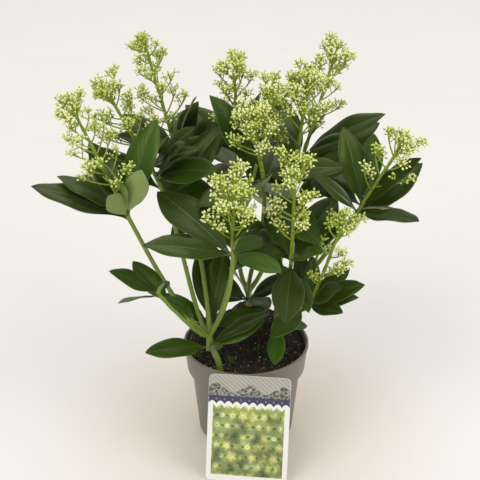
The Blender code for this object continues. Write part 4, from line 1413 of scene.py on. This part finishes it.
@dataclass
class Blossom:
    """The flower heads: a rachis, side branches that fork into clusters, and egg-shaped buds.

    A span of two numbers is drawn from evenly, or runs from a head's foot to its top. Tones are the
    chances of a spray's pale, cream and green buds, on high heads and on low ones.
    """

    growth: Growth
    seed: int = 9000
    rachis_radius: float = 0.0021
    rachis_tip: float = 0.0014
    rachis_sink: float = 0.002
    rachis_end: float = 0.9
    rachis_bow: float = 0.0011
    rachis_beats: tuple[int, int] = (3, 5)
    rachis_swell: float = 0.10
    rachis_swells: float = 46.0
    branch_radius: float = 0.00092
    branch_bow: float = 0.45
    branch_end: float = 0.85
    branch_lift: float = 0.10
    branch_taper: float = 0.7
    branch_length: float = 0.04
    branch_fork: float = 0.62
    twig_radius: float = 0.00058
    twig_spread: tuple[float, float] = (0.55, 1.05)
    twig_length: tuple[float, float] = (1.05, 0.6)
    pedicel_radius: float = 0.00036
    pedicel_length: float = 0.0026
    pedicel_span: float = 0.40
    pedicel_lean: float = 56.0
    twigs: int = 6
    buds: int = 5
    bud_length: float = 0.0031
    bud_width: float = 0.0023
    crown_sprays: int = 7
    crown_twigs: int = 3
    crown_buds: int = 4
    crown_tilt: tuple[float, float] = (30, 74)
    crown_base: float = 1.55
    crown_sink: float = 0.55
    crown_bulb: float = 0.42
    small_head: int = 6
    small_crown: float = 0.55
    lesser_twigs: int = 5
    lesser_buds: int = 4
    lesser_tilt: tuple[float, float] = (44, 64)
    lesser_turn: float = 1.7
    full_head: int = 7
    full_extra: int = 2
    bare_fewer: int = 4
    lesser_foot: float = 0.13
    lesser_span: float = 0.67
    lesser_reach: tuple[float, float] = (0.034, 0.021)
    lesser_bulb: float = 0.0085
    high_crown: float = 0.34
    high_tones: tuple[float, ...] = (0.40, 0.48, 0.12)
    low_tones: tuple[float, ...] = (0.48, 0.17, 0.35)
    twig_finishes: tuple = (
        SoftFinish("rachis", (0.215, 0.300, 0.022), 0.48, 260.0, 0.25),
        SoftFinish("flower_stalk", (0.290, 0.370, 0.035), 0.50, 400.0, 0.25),
    )
    bud_finishes: tuple = (
        SoftFinish("bud_pale", (0.650, 0.730, 0.185), 0.42, 700.0, 0.16, 0.12),
        SoftFinish("bud_cream", (0.810, 0.850, 0.350), 0.42, 700.0, 0.14, 0.12),
        SoftFinish("bud_green", (0.460, 0.560, 0.100), 0.42, 700.0, 0.18, 0.12),
        SoftFinish("bud_cup", (0.240, 0.310, 0.030), 0.50, 700.0, 0.20),
    )
    paths: dict[str, list] = field(default_factory=lambda: {"branch": [], "twig": [], "pedicel": []})

    def rachis(self, shoot: Shoot, draw: np.random.Generator) -> np.ndarray:
        """Make a head's main stem, a little crooked between its side branches."""
        whorl, crown = np.array(shoot.whorl), np.array(shoot.crown)
        top = crown - shoot.axis * self.growth.dome_radius * self.rachis_end
        share = np.linspace(0.0, 1.0, 40)
        path = (whorl - shoot.axis * self.rachis_sink) + (top - whorl) * share[:, None]
        for beat in self.rachis_beats:
            bow = np.sin(share * math.pi * beat + draw.uniform(0, PHASE)) * np.sin(share * math.pi)
            way = swing(*crosswise(shoot.axis), draw.uniform(0, PHASE))
            path = path + bow[:, None] * way * self.rachis_bow / beat
        radius = self.rachis_radius + (self.rachis_tip - self.rachis_radius) * share
        swell = np.sin(share * self.rachis_swells + draw.uniform(0, PHASE))
        radius = radius * (1.0 + self.rachis_swell * swell)
        return tube_points(path[None], radius[None], 10)

    def spray(self, spray: Spray, twigs: int, buds: int, draw: np.random.Generator) -> tuple:
        """Grow one side branch: its curve, its twigs by the golden angle, their pedicels and buds.

        Args:
            spray: the side branch.
            twigs: twigs on the branch.
            buds: buds on each twig, the last at its end.
            draw: the head's random numbers.

        Returns:
            Feet, ways, lengths and widths of the buds.
        """
        lift = spray.axis * self.branch_lift
        bow = spray.root + spray.reach * self.branch_bow * unit(spray.way - lift)
        end = spray.root + spray.reach * self.branch_end * unit(spray.way + lift)
        stations = np.arange(9)
        branch = bezier([spray.root, bow, end], stations / 8.0)
        thick = self.branch_radius * (0.75 + 0.25 * spray.reach / self.branch_length)
        self.paths["branch"].append((branch, np.linspace(thick, thick * self.branch_taper, 9)))
        share = np.linspace(self.branch_fork, 1.0, twigs) + draw.uniform(-0.03, 0.03, twigs)
        roots = sampled(branch, stations, np.clip(share, 0.0, 1.0) * 8.0)
        turn = (draw.uniform(0, PHASE) + np.arange(twigs) * GOLDEN_ANGLE)[:, None]
        spread = swing(*crosswise(spray.axis), turn) * draw.uniform(*self.twig_spread, twigs)[:, None]
        ways = unit(0.75 * spray.axis + spread + 0.35 * unit(end - bow))
        lengths = spray.bulb * np.linspace(*self.twig_length, twigs) * draw.uniform(0.85, 1.2, twigs)
        lengths = lengths[:, None]
        later = unit(ways + 0.5 * spray.axis)
        ends = roots + lengths * unit(ways + later)
        curves = bezier([roots, roots + ways * lengths * 0.5, ends], np.linspace(0.0, 1.0, 5))
        self.paths["twig"] += [(curve, np.linspace(1.0, 0.75, 5) * self.twig_radius) for curve in curves]
        return self._buds(curves, later, buds, draw)

    def _buds(self, curves: np.ndarray, ways: np.ndarray, buds: int, draw: np.random.Generator) -> tuple:
        """Put pedicels along twigs, further apart low down, with a bud on each.

        Args:
            curves: the twigs, shape (twigs, 5, 3).
            ways: the direction of each twig's end.
            buds: buds on each twig.
            draw: the head's random numbers.

        Returns:
            Feet, ways, lengths and widths of the buds.
        """
        share = 1.0 - self.pedicel_span * (np.arange(buds)[::-1] / max(buds - 1, 1)) ** 1.2
        shape = (len(curves), buds)
        at = np.broadcast_to(share * 4.0, shape)
        low = np.minimum(at.astype(int), 3)
        part = (at - low)[..., None]
        rows = np.arange(len(curves))[:, None]
        feet = curves[rows, low] * (1 - part) + curves[rows, low + 1] * part
        side, other = crosswise(ways)
        turn = (draw.uniform(0, PHASE, (len(curves), 1)) + np.arange(buds) * GOLDEN_ANGLE)[..., None]
        lean = math.radians(self.pedicel_lean) * (share[None, :] < 1.0) + draw.uniform(0.0, 0.3, shape)
        ways = swing(ways[:, None], swing(side[:, None], other[:, None], turn), lean[..., None])
        size = draw.uniform(0.78, 1.12, shape)
        reach = self.pedicel_length * draw.uniform(0.7, 1.2, shape)
        tops = feet + ways * reach[..., None]
        steps = np.linspace(0.0, 1.0, 3)[:, None]
        for foot, top in zip(feet.reshape(-1, 3), tops.reshape(-1, 3)):
            self.paths["pedicel"].append((foot + (top - foot) * steps, np.full(3, self.pedicel_radius)))
        widths = size * self.bud_width * draw.uniform(0.9, 1.1, shape)
        return tops.reshape(-1, 3), ways.reshape(-1, 3), size.ravel() * self.bud_length, widths.ravel()

    def crown_plan(self, shoot: Shoot, draw: np.random.Generator) -> list[Spray]:
        """Plan the rounded top of a head: short sprays round one that stands straight up."""
        axis, (side, other) = shoot.axis, crosswise(shoot.axis)
        size = self.growth.dome_radius * (1.0 if shoot.branches > self.small_head else self.small_crown)
        base, bulb = np.array(shoot.crown) - axis * size * self.crown_base, size * self.crown_bulb
        plan = [Spray(base, axis, axis, size, bulb)]
        for index in range(self.crown_sprays):
            turn = index * GOLDEN_ANGLE + draw.normal(0, 0.2)
            way = swing(axis, swing(side, other, turn), math.radians(draw.uniform(*self.crown_tilt)))
            root = base - axis * size * self.crown_sink * (index / self.crown_sprays)
            plan.append(Spray(root, way, axis, size * draw.uniform(1.0, 1.3), bulb))
        return plan

    def small_plan(self, shoot: Shoot, draw: np.random.Generator) -> list[Spray]:
        """Plan lesser sprays between the long ones, on the turns that the golden angle leaves open."""
        axis, (side, other) = shoot.axis, crosswise(shoot.axis)
        extra = self.full_extra if shoot.branches > self.full_head else -self.bare_fewer
        plan, count = [], shoot.branches + extra
        for index in range(count):
            share = self.lesser_foot + self.lesser_span * (index + draw.uniform(0.3, 0.7)) / count
            turn = draw.normal(0, 0.3) + (index + 0.5) * GOLDEN_ANGLE * self.lesser_turn
            way = swing(axis, swing(side, other, turn), math.radians(draw.uniform(*self.lesser_tilt)))
            reach = np.interp(share, (0.1, 0.8), self.lesser_reach) * draw.uniform(0.85, 1.1)
            root = np.array(shoot.whorl) + axis * shoot.height * share
            plan.append(Spray(root, way, axis, reach, self.lesser_bulb))
        return plan

    def build(self) -> list[bpy.types.Object]:
        """Make the twigs, the bud stalks, and the buds of long and short side branches and of crowns."""
        twigs, stalks, sides, smalls, crowns = (Sheet() for _ in range(5))
        for shoot in (item for item in SHOOTS if item.flowers):
            draw = np.random.default_rng(shoot.seed + self.seed)
            tones = self.high_tones if shoot.crown[2] > self.high_crown else self.low_tones
            twigs.grid(self.rachis(shoot, draw), TwigSlot.RACHIS)
            for spray in self.growth.kept_sprays(shoot):
                self._add_buds(sides, self.spray(spray, self.twigs, self.buds, draw), tones, draw)
            for spray in self.small_plan(shoot, draw):
                grown = self.spray(spray, self.lesser_twigs, self.lesser_buds, draw)
                self._add_buds(smalls, grown, tones, draw)
            for spray in self.crown_plan(shoot, draw):
                grown = self.spray(spray, self.crown_twigs, self.crown_buds, draw)
                self._add_buds(crowns, grown, tones, draw)
        for kind, corners, sheet in (("branch", 6, twigs), ("twig", 5, twigs), ("pedicel", 3, stalks)):
            paths, radii = (np.array(item) for item in zip(*self.paths[kind]))
            sheet.grid(tube_points(paths, radii, corners), TwigSlot.STALK)
        materials = [finish.material() for finish in self.twig_finishes]
        buds = [finish.material() for finish in self.bud_finishes]
        LOG.info("%d buds", len(self.paths["pedicel"]))
        return [
            twigs.build("flower_twigs", materials),
            stalks.build("bud_stalks", materials),
            sides.build("side_buds", buds),
            smalls.build("small_buds", buds),
            crowns.build("crown_buds", buds),
        ]

    def _add_buds(self, sheet: Sheet, buds: tuple, tones: tuple[float, ...],
                  draw: np.random.Generator) -> None:
        """Add one spray's buds in one colour, each with a darker cup at its foot.

        Args:
            sheet: where the buds go.
            buds: their feet, ways, lengths and widths.
            tones: the chances of pale, cream and green.
            draw: the head's random numbers.
        """
        rings, sides = 6, 6
        tone = draw.choice([BudSlot.PALE, BudSlot.CREAM, BudSlot.GREEN], p=tones)
        slots = np.full((1, rings - 1, sides), tone)
        slots[:, 0] = BudSlot.CUP
        sheet.grid(egg_points(*buds, rings, sides), slots)


# Pot, peat and label


@dataclass
class NurseryPot:
    """The stepped round pot: a thin turned wall with a rounded lip, a collar and drain holes."""

    height: float = 0.104
    rim_radius: float = 0.065
    collar_foot_radius: float = 0.0612
    collar_foot_z: float = 0.0755
    step_foot: float = 0.0735
    step_top: float = 0.0775
    ledge_radius: float = 0.0565
    base_radius: float = 0.0495
    edge: float = 0.0022
    wall: float = 0.0016
    floor: float = 0.0022
    lip: float = 0.0009
    lip_depth: float = 0.003
    drain_radius: float = 0.004
    drain_ring: float = 0.036
    drains: int = 6
    steps: int = 128
    round_most: float = 0.45
    sharp: float = 40.0
    finish: PotFinish = PotFinish("pot_plastic", (0.138, 0.125, 0.101), (0.220, 0.202, 0.166))

    def inner_radius(self, height: float) -> float:
        """Give the radius of the inner wall at a height."""
        return float(np.interp(
            height, (self.floor, self.step_foot, self.step_top, self.height),
            (self.base_radius - self.wall, self.ledge_radius - self.wall,
             self.collar_foot_radius - self.wall, self.rim_radius - self.wall - self.lip),
        ))

    def profile(self) -> np.ndarray:
        """Give the wall's section from the floor's middle inside to its middle below, corners rounded.

        Each corner has a radius, a height and a reach. It becomes a Bezier arc between points that
        stand its reach away along its two sides, or less than half a side where that is short.
        """
        inside = (
            (self.floor, 0.0010), (self.step_foot, 0.0015), (self.step_top, 0.0015), (self.height, 0.0007),
        )
        corners = np.array([
            (0.0, self.floor, 0.0),
            *((self.inner_radius(z), z, reach) for z, reach in inside),
            (self.rim_radius, self.height, 0.00075),
            (self.rim_radius, self.height - self.lip_depth, 0.00035),
            (self.rim_radius - self.lip, self.height - self.lip_depth - self.lip / 2.0, 0.0004),
            (self.collar_foot_radius, self.collar_foot_z, 0.0009),
            (self.ledge_radius, self.step_foot, 0.0016),
            (self.base_radius, self.edge, 0.0008),
            (self.base_radius - self.edge, 0.0, 0.0008),
            (0.0, 0.0, 0.0),
        ])
        corners, reach = corners[:, :2], corners[1:-1, 2:]
        middle = corners[1:-1]
        starts, ends = (
            middle + unit(side) * np.minimum(reach, self.round_most * np.linalg.norm(side, axis=1)[:, None])
            for side in (corners[:-2] - middle, corners[2:] - middle)
        )
        arcs = bezier([starts, middle, ends], np.linspace(0.0, 1.0, 6)).reshape(-1, 2)
        return np.concatenate([corners[:1], arcs, corners[-1:]])

    def build(self) -> bpy.types.Object:
        """Turn the profile round +Z and cut the drain holes."""
        radius, height = self.profile().T[..., None]
        points = raised(radius[..., None] * circle(ring_angles(self.steps)), height)
        feet = raised(circle(np.arange(self.drains) * TURN / self.drains) * self.drain_ring, 0.0)
        rods = feet[:, None] + UP * np.linspace(-2.0, 2.0, 3)[:, None] * self.floor
        holes = tube_points(rods, np.full((self.drains, 3), self.drain_radius), 20)
        pot = Sheet().grid(points).build("pot_shell", [self.finish.material()])
        cutter = Sheet().grid(holes).build("drain_cutter", [])
        cut = pot.modifiers.new("drain_holes", "BOOLEAN")
        cut.operation, cut.object = "DIFFERENCE", cutter
        bpy.context.view_layer.update()
        mesh = bpy.data.meshes.new_from_object(pot.evaluated_get(bpy.context.evaluated_depsgraph_get()))
        pot.modifiers.clear()
        pot.data = mesh
        bpy.data.objects.remove(cutter, do_unlink=True)
        mesh.shade_smooth()
        mesh.set_sharp_from_angle(angle=math.radians(self.sharp))
        return pot


@dataclass
class PeatFill:
    """The peat in the pot, mounded behind the middle, with crumbs, fibres and moss on it.

    A mound has its middle's x and y, its rise and its spread; a tuft of moss has its middle's x and
    y, its spread and its count of leaflets. Crumb shares are the chances of the crumbs' finishes.
    """

    pot: NurseryPot
    seed: int = 5
    level: float = 0.096
    mounds: tuple = (
        (0.004, 0.040, 0.026, 0.022), (-0.045, 0.012, 0.010, 0.018), (0.030, 0.014, 0.006, 0.020),
    )
    pad_radius: float = 0.011
    pad_fade: float = 1.6
    relief: float = 0.0021
    lump_gain: float = 5.0
    lump_power: float = 0.8
    lump_sink: float = 0.1
    rim_fade: float = 0.004
    wave_spans: tuple[float, float] = (0.0028, 0.026)
    wave_count: int = 54
    rings: int = 90
    sectors: int = 260
    crumbs: int = 2200
    crumb_size: float = 0.0011
    crumb_limits: tuple[float, float] = (0.0005, 0.0034)
    crumb_shares: tuple[float, ...] = (0.55, 0.25, 0.17, 0.03)
    spilt: int = 36
    spill_heading: float = 2.92
    spill_spread: float = 0.16
    spill_gap: float = 0.0004
    inset: float = 0.006
    lap: float = 6.283
    fibres: int = 90
    fibre_radius: float = 0.00022
    fibre_lift: float = 0.0004
    fibre_span: tuple[float, float] = (0.003, 0.009)
    moss_span: tuple[float, float] = (0.0022, 0.0052)
    finish: PeatFinish = PeatFinish(
        "peat_earth", wet=(0.0055, 0.0045, 0.0028), dry=(0.028, 0.021, 0.012), speck=(0.36, 0.27, 0.11),
    )
    crumb_finishes: tuple = (
        SoftFinish("crumb_dark", (0.011, 0.008, 0.005), 0.85, 900.0, 0.5),
        SoftFinish("crumb_brown", (0.052, 0.036, 0.016), 0.80, 900.0, 0.5),
        SoftFinish("crumb_ochre", (0.340, 0.225, 0.085), 0.70, 900.0, 0.3),
        SoftFinish("crumb_white", (0.620, 0.580, 0.480), 0.60, 900.0, 0.2),
    )
    moss_finish: SoftFinish = SoftFinish("moss", (0.085, 0.130, 0.022), 0.60, 500.0, 0.4)
    moss_tufts: tuple = (
        (-0.0495, -0.0188, 0.0042, 46), (-0.0165, -0.0301, 0.0050, 40), (0.016, -0.012, 0.0060, 24),
    )

    @property
    def edge(self) -> float:
        """Give the radius of the pot's inner wall at the peat's level."""
        return self.pot.inner_radius(self.level)

    def waves(self) -> tuple[np.ndarray, np.ndarray, np.ndarray]:
        """Give the wave vectors, phases and heights that sum to the peat's relief."""
        draw = np.random.default_rng(self.seed)
        span = np.geomspace(*self.wave_spans, self.wave_count)
        vectors = circle(draw.uniform(0, TURN, len(span))).T * TURN / span
        return vectors, draw.uniform(0, TURN, len(span)), span ** 0.75

    def height(self, flat: np.ndarray) -> np.ndarray:
        """Give the peat's height: a level with round mounds, flat pads at the trunks, and lumps."""
        x, y = flat[..., 0], flat[..., 1]
        ground = np.full(x.shape, self.level)
        for centre_x, centre_y, rise, spread in self.mounds:
            ground = ground + rise * np.exp(-((x - centre_x) ** 2 + (y - centre_y) ** 2) / (2 * spread ** 2))
        vectors, phases, heights = self.waves()
        lumps = np.sin(x[..., None] * vectors[0] + y[..., None] * vectors[1] + phases) @ heights
        lumps = lumps / heights.sum() * self.lump_gain
        relief = self.relief * (np.abs(lumps) ** self.lump_power * np.sign(lumps) - self.lump_sink)
        for trunk in TRUNKS:
            away = np.hypot(x - trunk.foot[0], y - trunk.foot[1])
            near = np.clip(self.pad_fade - away / self.pad_radius, 0.0, 1.0)
            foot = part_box(trunk.name)[0][2] - GAP
            ground = ground * (1.0 - near) + foot * near
            relief = relief * (1.0 - 0.8 * near)
        free = np.clip((self.edge - np.hypot(x, y)) / self.rim_fade, 0.0, 1.0)
        return ground + relief * (0.3 + 0.7 * free)

    def ground(self) -> bpy.types.Object:
        """Make the peat's body: its lumpy top on a polar grid, then down inside the pot's wall."""
        round_way = circle(ring_angles(self.sectors))
        radius = np.linspace(0.0, 1.0, self.rings)[:, None] ** 0.9 * (self.edge - GAP)
        flat = radius[..., None] * round_way
        top = raised(flat, self.height(flat))
        bottom = self.pot.floor + GAP
        walls = [(self.pot.inner_radius(z) - GAP, z + GAP) for z in (self.pot.step_top, self.pot.step_foot)]
        walls += [(self.pot.inner_radius(bottom) - GAP, bottom), (0.0, bottom)]
        below = [raised(r * round_way, z) for r, z in walls]
        return Sheet().grid(np.concatenate([top, below])).build("peat_ground", [self.finish.material()])

    def litter(self) -> bpy.types.Object:
        """Scatter crumbs and fibres over the peat, some at the rim where it spills."""
        draw, sheet = np.random.default_rng(self.seed + 1), Sheet()
        self._crumbs(sheet, draw)
        self._fibres(sheet, draw)
        return sheet.build("peat_crumbs", [finish.material() for finish in self.crumb_finishes])

    def _crumbs(self, sheet: Sheet, draw: np.random.Generator) -> None:
        """Add crumbs as blunt eggs with rough rings, the first of them spilt at the rim."""
        count = self.crumbs
        radius = (self.edge - 0.002) * np.sqrt(draw.uniform(0, 1, count))
        angle = draw.uniform(0, self.lap, count)
        spilt = np.arange(count) < self.spilt
        angle = np.where(spilt, draw.normal(self.spill_heading, self.spill_spread, count), angle)
        spill = draw.uniform(self.edge - self.inset, self.pot.rim_radius - self.spill_gap, count)
        radius = np.where(spilt, spill, radius)
        flat = radius[:, None] * circle(angle)
        size = draw.lognormal(math.log(self.crumb_size), 0.42, count).clip(*self.crumb_limits)
        rest = np.where(spilt & (radius > self.edge), self.pot.height, self.height(flat)) - size * 0.15
        ways = unit(draw.normal(0, 1, (count, 3)))
        feet = raised(flat, rest) - ways * size[:, None] * 0.5 + UP * size[:, None] * 0.4
        lumps = egg_points(feet, ways, size, size * draw.uniform(0.6, 1.1, count), 5, 6, 0.9)
        middle = lumps.mean(axis=(1, 2), keepdims=True)
        rough = draw.uniform(0.72, 1.2, lumps.shape[:3] + (1,))
        rough[:, [0, -1]] = 1.0
        lumps = middle + (lumps - middle) * rough
        kind = draw.choice(len(self.crumb_shares), count, p=self.crumb_shares)
        for slot in range(len(self.crumb_shares)):
            sheet.grid(lumps[kind == slot], slot)

    def _fibres(self, sheet: Sheet, draw: np.random.Generator) -> None:
        """Add fibres as thin brown tubes, each bent once to its side."""
        count = self.fibres
        turn = draw.uniform(0, self.lap, count)
        far = (self.edge - self.inset) * np.sqrt(draw.uniform(0, 1, count))
        start = far[:, None] * circle(turn)
        along = circle(draw.uniform(0, self.lap, count))
        span = draw.uniform(*self.fibre_span, count)[:, None]
        bend = start + along * span * 0.5 + along[:, ::-1] * np.array([1.0, -1.0]) * span * 0.2
        flat = bezier([start, bend, start + along * span], np.linspace(0, 1, 6))
        paths = raised(flat, self.height(flat) + self.fibre_lift)
        sheet.grid(tube_points(paths, np.full(paths.shape[:2], self.fibre_radius), 4), 1)

    def moss(self) -> bpy.types.Object:
        """Grow small tufts of moss on the peat: narrow leaflets that lean out from each tuft."""
        draw, sheet = np.random.default_rng(self.seed + 2), Sheet()
        for x, y, spread, count in self.moss_tufts:
            off = draw.normal(0, spread / 2.0, (count, 2))
            at = off + (x, y)
            lean = raised(off / spread + draw.normal(0, 0.35, (count, 2)), 1.0)
            length = draw.uniform(*self.moss_span, count)
            sheet.grid(egg_points(raised(at, self.height(at)), unit(lean), length, length * 0.30, 5, 5, 0.8))
        return sheet.build("peat_moss", [self.moss_finish.material()])


@dataclass
class PlantLabel:
    """The card label that stands on the table and leans on the pot's rim."""

    pot: NurseryPot
    width: float = 0.082
    height: float = 0.110
    thickness: float = 0.0009
    corner: float = 0.005
    corner_steps: int = 8
    side: float = -0.0005
    turn: float = -7.0
    lean: float = 19.0
    bevel: float = 0.00022
    border: float = 0.0012
    board: SoftFinish = SoftFinish("label_board", (0.78, 0.77, 0.74), 0.42, 400.0, 0.03)

    def pose(self) -> tuple[np.ndarray, Euler]:
        """Give the place of the card's foot and its turn."""
        turn, lean = math.radians(self.turn), math.radians(self.lean)
        away = (self.pot.rim_radius + GAP + self.thickness) / math.cos(turn) + self.height * math.sin(lean)
        drop = math.sin(lean) * self.thickness / 2.0
        return np.array([self.side, -away, GAP + drop]), Euler((math.pi / 2.0 - lean, 0.0, turn))

    def outline(self, inset: float, lift: float) -> np.ndarray:
        """Give the card's outline with quarter-circle corners, moved in and up by some metres."""
        half, low, high = self.width / 2.0 - self.corner, self.corner, self.height - self.corner
        centres = np.array([(half, low), (half, high), (-half, high), (-half, low)])
        angle = (np.arange(4)[:, None] - 1 + np.linspace(0, 1, self.corner_steps)) * math.pi / 2.0
        flat = (centres[:, None] + circle(angle) * (self.corner - inset)).reshape(-1, 2)
        return raised(flat, lift)

    def build(self) -> bpy.types.Object:
        """Make the card from rings of its outline, printed on the front."""
        half = self.thickness / 2.0
        rings = [(self.border, half), (self.bevel, half), (0.0, half - self.bevel)]
        rings += [(inset, -lift) for inset, lift in reversed(rings)]
        rows = [self.outline(*ring) for ring in rings]
        middle = np.array([0.0, self.height / 2.0, 0.0])
        rows = [rows[0] * 0 + middle + UP * half, *rows, rows[0] * 0 + middle - UP * half]
        place, turn = self.pose()
        points = np.array(rows) @ np.array(turn.to_matrix()).T + place
        slots = np.ones((1, len(rows) - 1, points.shape[1]), int)
        slots[:, :2] = 0
        printed = LabelPrint("label_print", self.width, self.height, tuple(place), tuple(turn))
        card = Sheet().grid(points, slots).build("label_card", [printed.material(), self.board.material()])
        card.data.set_sharp_from_angle(angle=math.radians(30.0))
        return card


# Studio


@dataclass
class Studio:
    """The pale sheet that runs up behind the plant, the soft lights and the camera.

    A light has its name, place, size, power and colour.
    """

    wall_y: float = 5.0
    sweep: float = 1.2
    width: float = 20.0
    front: float = -10.0
    top: float = 6.0
    camera_place: tuple[float, float, float] = (-0.0063, -1.102, 0.793)
    camera_pitch: float = 62.6
    focal: float = 93.4
    sensor: float = 36.0
    sheet_finish: StudioFinish = StudioFinish(
        "studio_sheet", colour=(0.850, 0.835, 0.815), stain=(0.805, 0.788, 0.764), painted_shadow=(0.800, 0.725, 0.635),
    )
    lights: tuple = (
        ("key", (-1.3, -1.5, 2.3), 1.6, 25.0, (1.0, 0.99, 0.97)),
        ("fill", (1.8, -1.2, 1.6), 1.6, 20.0, (1.0, 0.99, 0.97)),
        ("top", (0.1, 1.9, 2.8), 2.2, 18.0, (1.0, 1.0, 1.0)),
    )
    lit_height: float = 0.2
    sky: Colour = (1.0, 0.985, 0.96)
    sky_strength: float = 0.755

    def backdrop(self) -> bpy.types.Object:
        """Sweep the floor's line up into the wall along an arc."""
        angle = np.linspace(0.0, math.pi / 2.0, 24)
        arc = np.stack([self.wall_y - self.sweep + self.sweep * np.sin(angle),
                        self.sweep - self.sweep * np.cos(angle)], axis=-1)
        line = np.concatenate([[(self.front, 0.0)], arc, [(self.wall_y, self.top)]])
        right, left = (np.column_stack([np.full(len(line), self.width * side), line]) for side in (0.5, -0.5))
        sheet = Sheet().grid(np.stack([right, left], axis=1), around=False)
        return sheet.build("studio_backdrop", [self.sheet_finish.material()])

    def light(self, name: str, place: tuple, size: float, power: float, colour: Colour) -> None:
        """Hang a square soft light that faces the plant's middle.

        Args:
            name: the light's name.
            place: its middle.
            size: its side in metres.
            power: its power in watts.
            colour: its colour.
        """
        lamp = bpy.data.lights.new(name, "AREA")
        lamp.size, lamp.energy, lamp.color = size, power, colour
        back = unit(np.array(place) - UP * self.lit_height)
        side = unit(np.cross(UP, back))
        aim = Matrix(np.stack([side, np.cross(back, side), back], axis=1).tolist())
        placed(name, lamp).matrix_world = Matrix.Translation(place) @ aim.to_4x4()

    def build(self) -> bpy.types.Object:
        """Set up the sheet, the lights, the sky and the camera."""
        for light in self.lights:
            self.light(*light)
        world = bpy.data.worlds.new("studio_sky")
        world.use_nodes = True
        sky = world.node_tree.nodes["Background"]
        sky.inputs["Color"].default_value = (*self.sky, 1.0)
        sky.inputs["Strength"].default_value = self.sky_strength
        bpy.context.scene.world = world
        lens = bpy.data.cameras.new("camera")
        lens.lens, lens.sensor_width = self.focal, self.sensor
        camera = placed("camera", lens)
        camera.location = self.camera_place
        camera.rotation_euler = (math.radians(self.camera_pitch), 0.0, 0.0)
        bpy.context.scene.camera = camera
        bpy.context.scene.view_settings.view_transform = "Standard"
        return self.backdrop()


def stand_for(piece: bpy.types.Object, slot: str, *nodes: str) -> None:
    """Tie a piece to the part: it rides on the root body and stands for some of its solids.

    Args:
        piece: the finished piece.
        slot: the record's material slot; not used.
        nodes: the solids that it hides.
    """
    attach(piece, "root")
    if nodes:
        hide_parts(*nodes)
    LOG.info("%s: %d faces for %d solids", piece.name, len(piece.data.polygons), len(nodes))


def main() -> None:
    """Build the plant's looks around its solids."""
    logging.basicConfig(level=logging.INFO, format="%(message)s")
    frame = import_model()
    growth = Growth(frame["nodes"])
    masses = [shoot.node for shoot in SHOOTS]
    boughs = ["bough_" + shoot.name for shoot in SHOOTS if "bough_" + shoot.name in frame["nodes"]]
    pot = NurseryPot()
    peat = PeatFill(pot)
    stand_for(pot.build(), "pot", "pot")
    stand_for(peat.ground(), "peat", "peat")
    stand_for(peat.litter(), "peat")
    stand_for(peat.moss(), "foliage")
    stand_for(PlantLabel(pot).build(), "label", "plant_label")
    stand_for(Wood(growth).build(), "bark", *(trunk.name for trunk in TRUNKS), *boughs)
    stand_for(Foliage(growth).build(), "foliage", *masses)
    for piece in Blossom(growth).build():
        stand_for(piece, "foliage", *masses)
    Studio().build()
    bpy.context.view_layer.update()


if __name__ == "__main__":
    main()
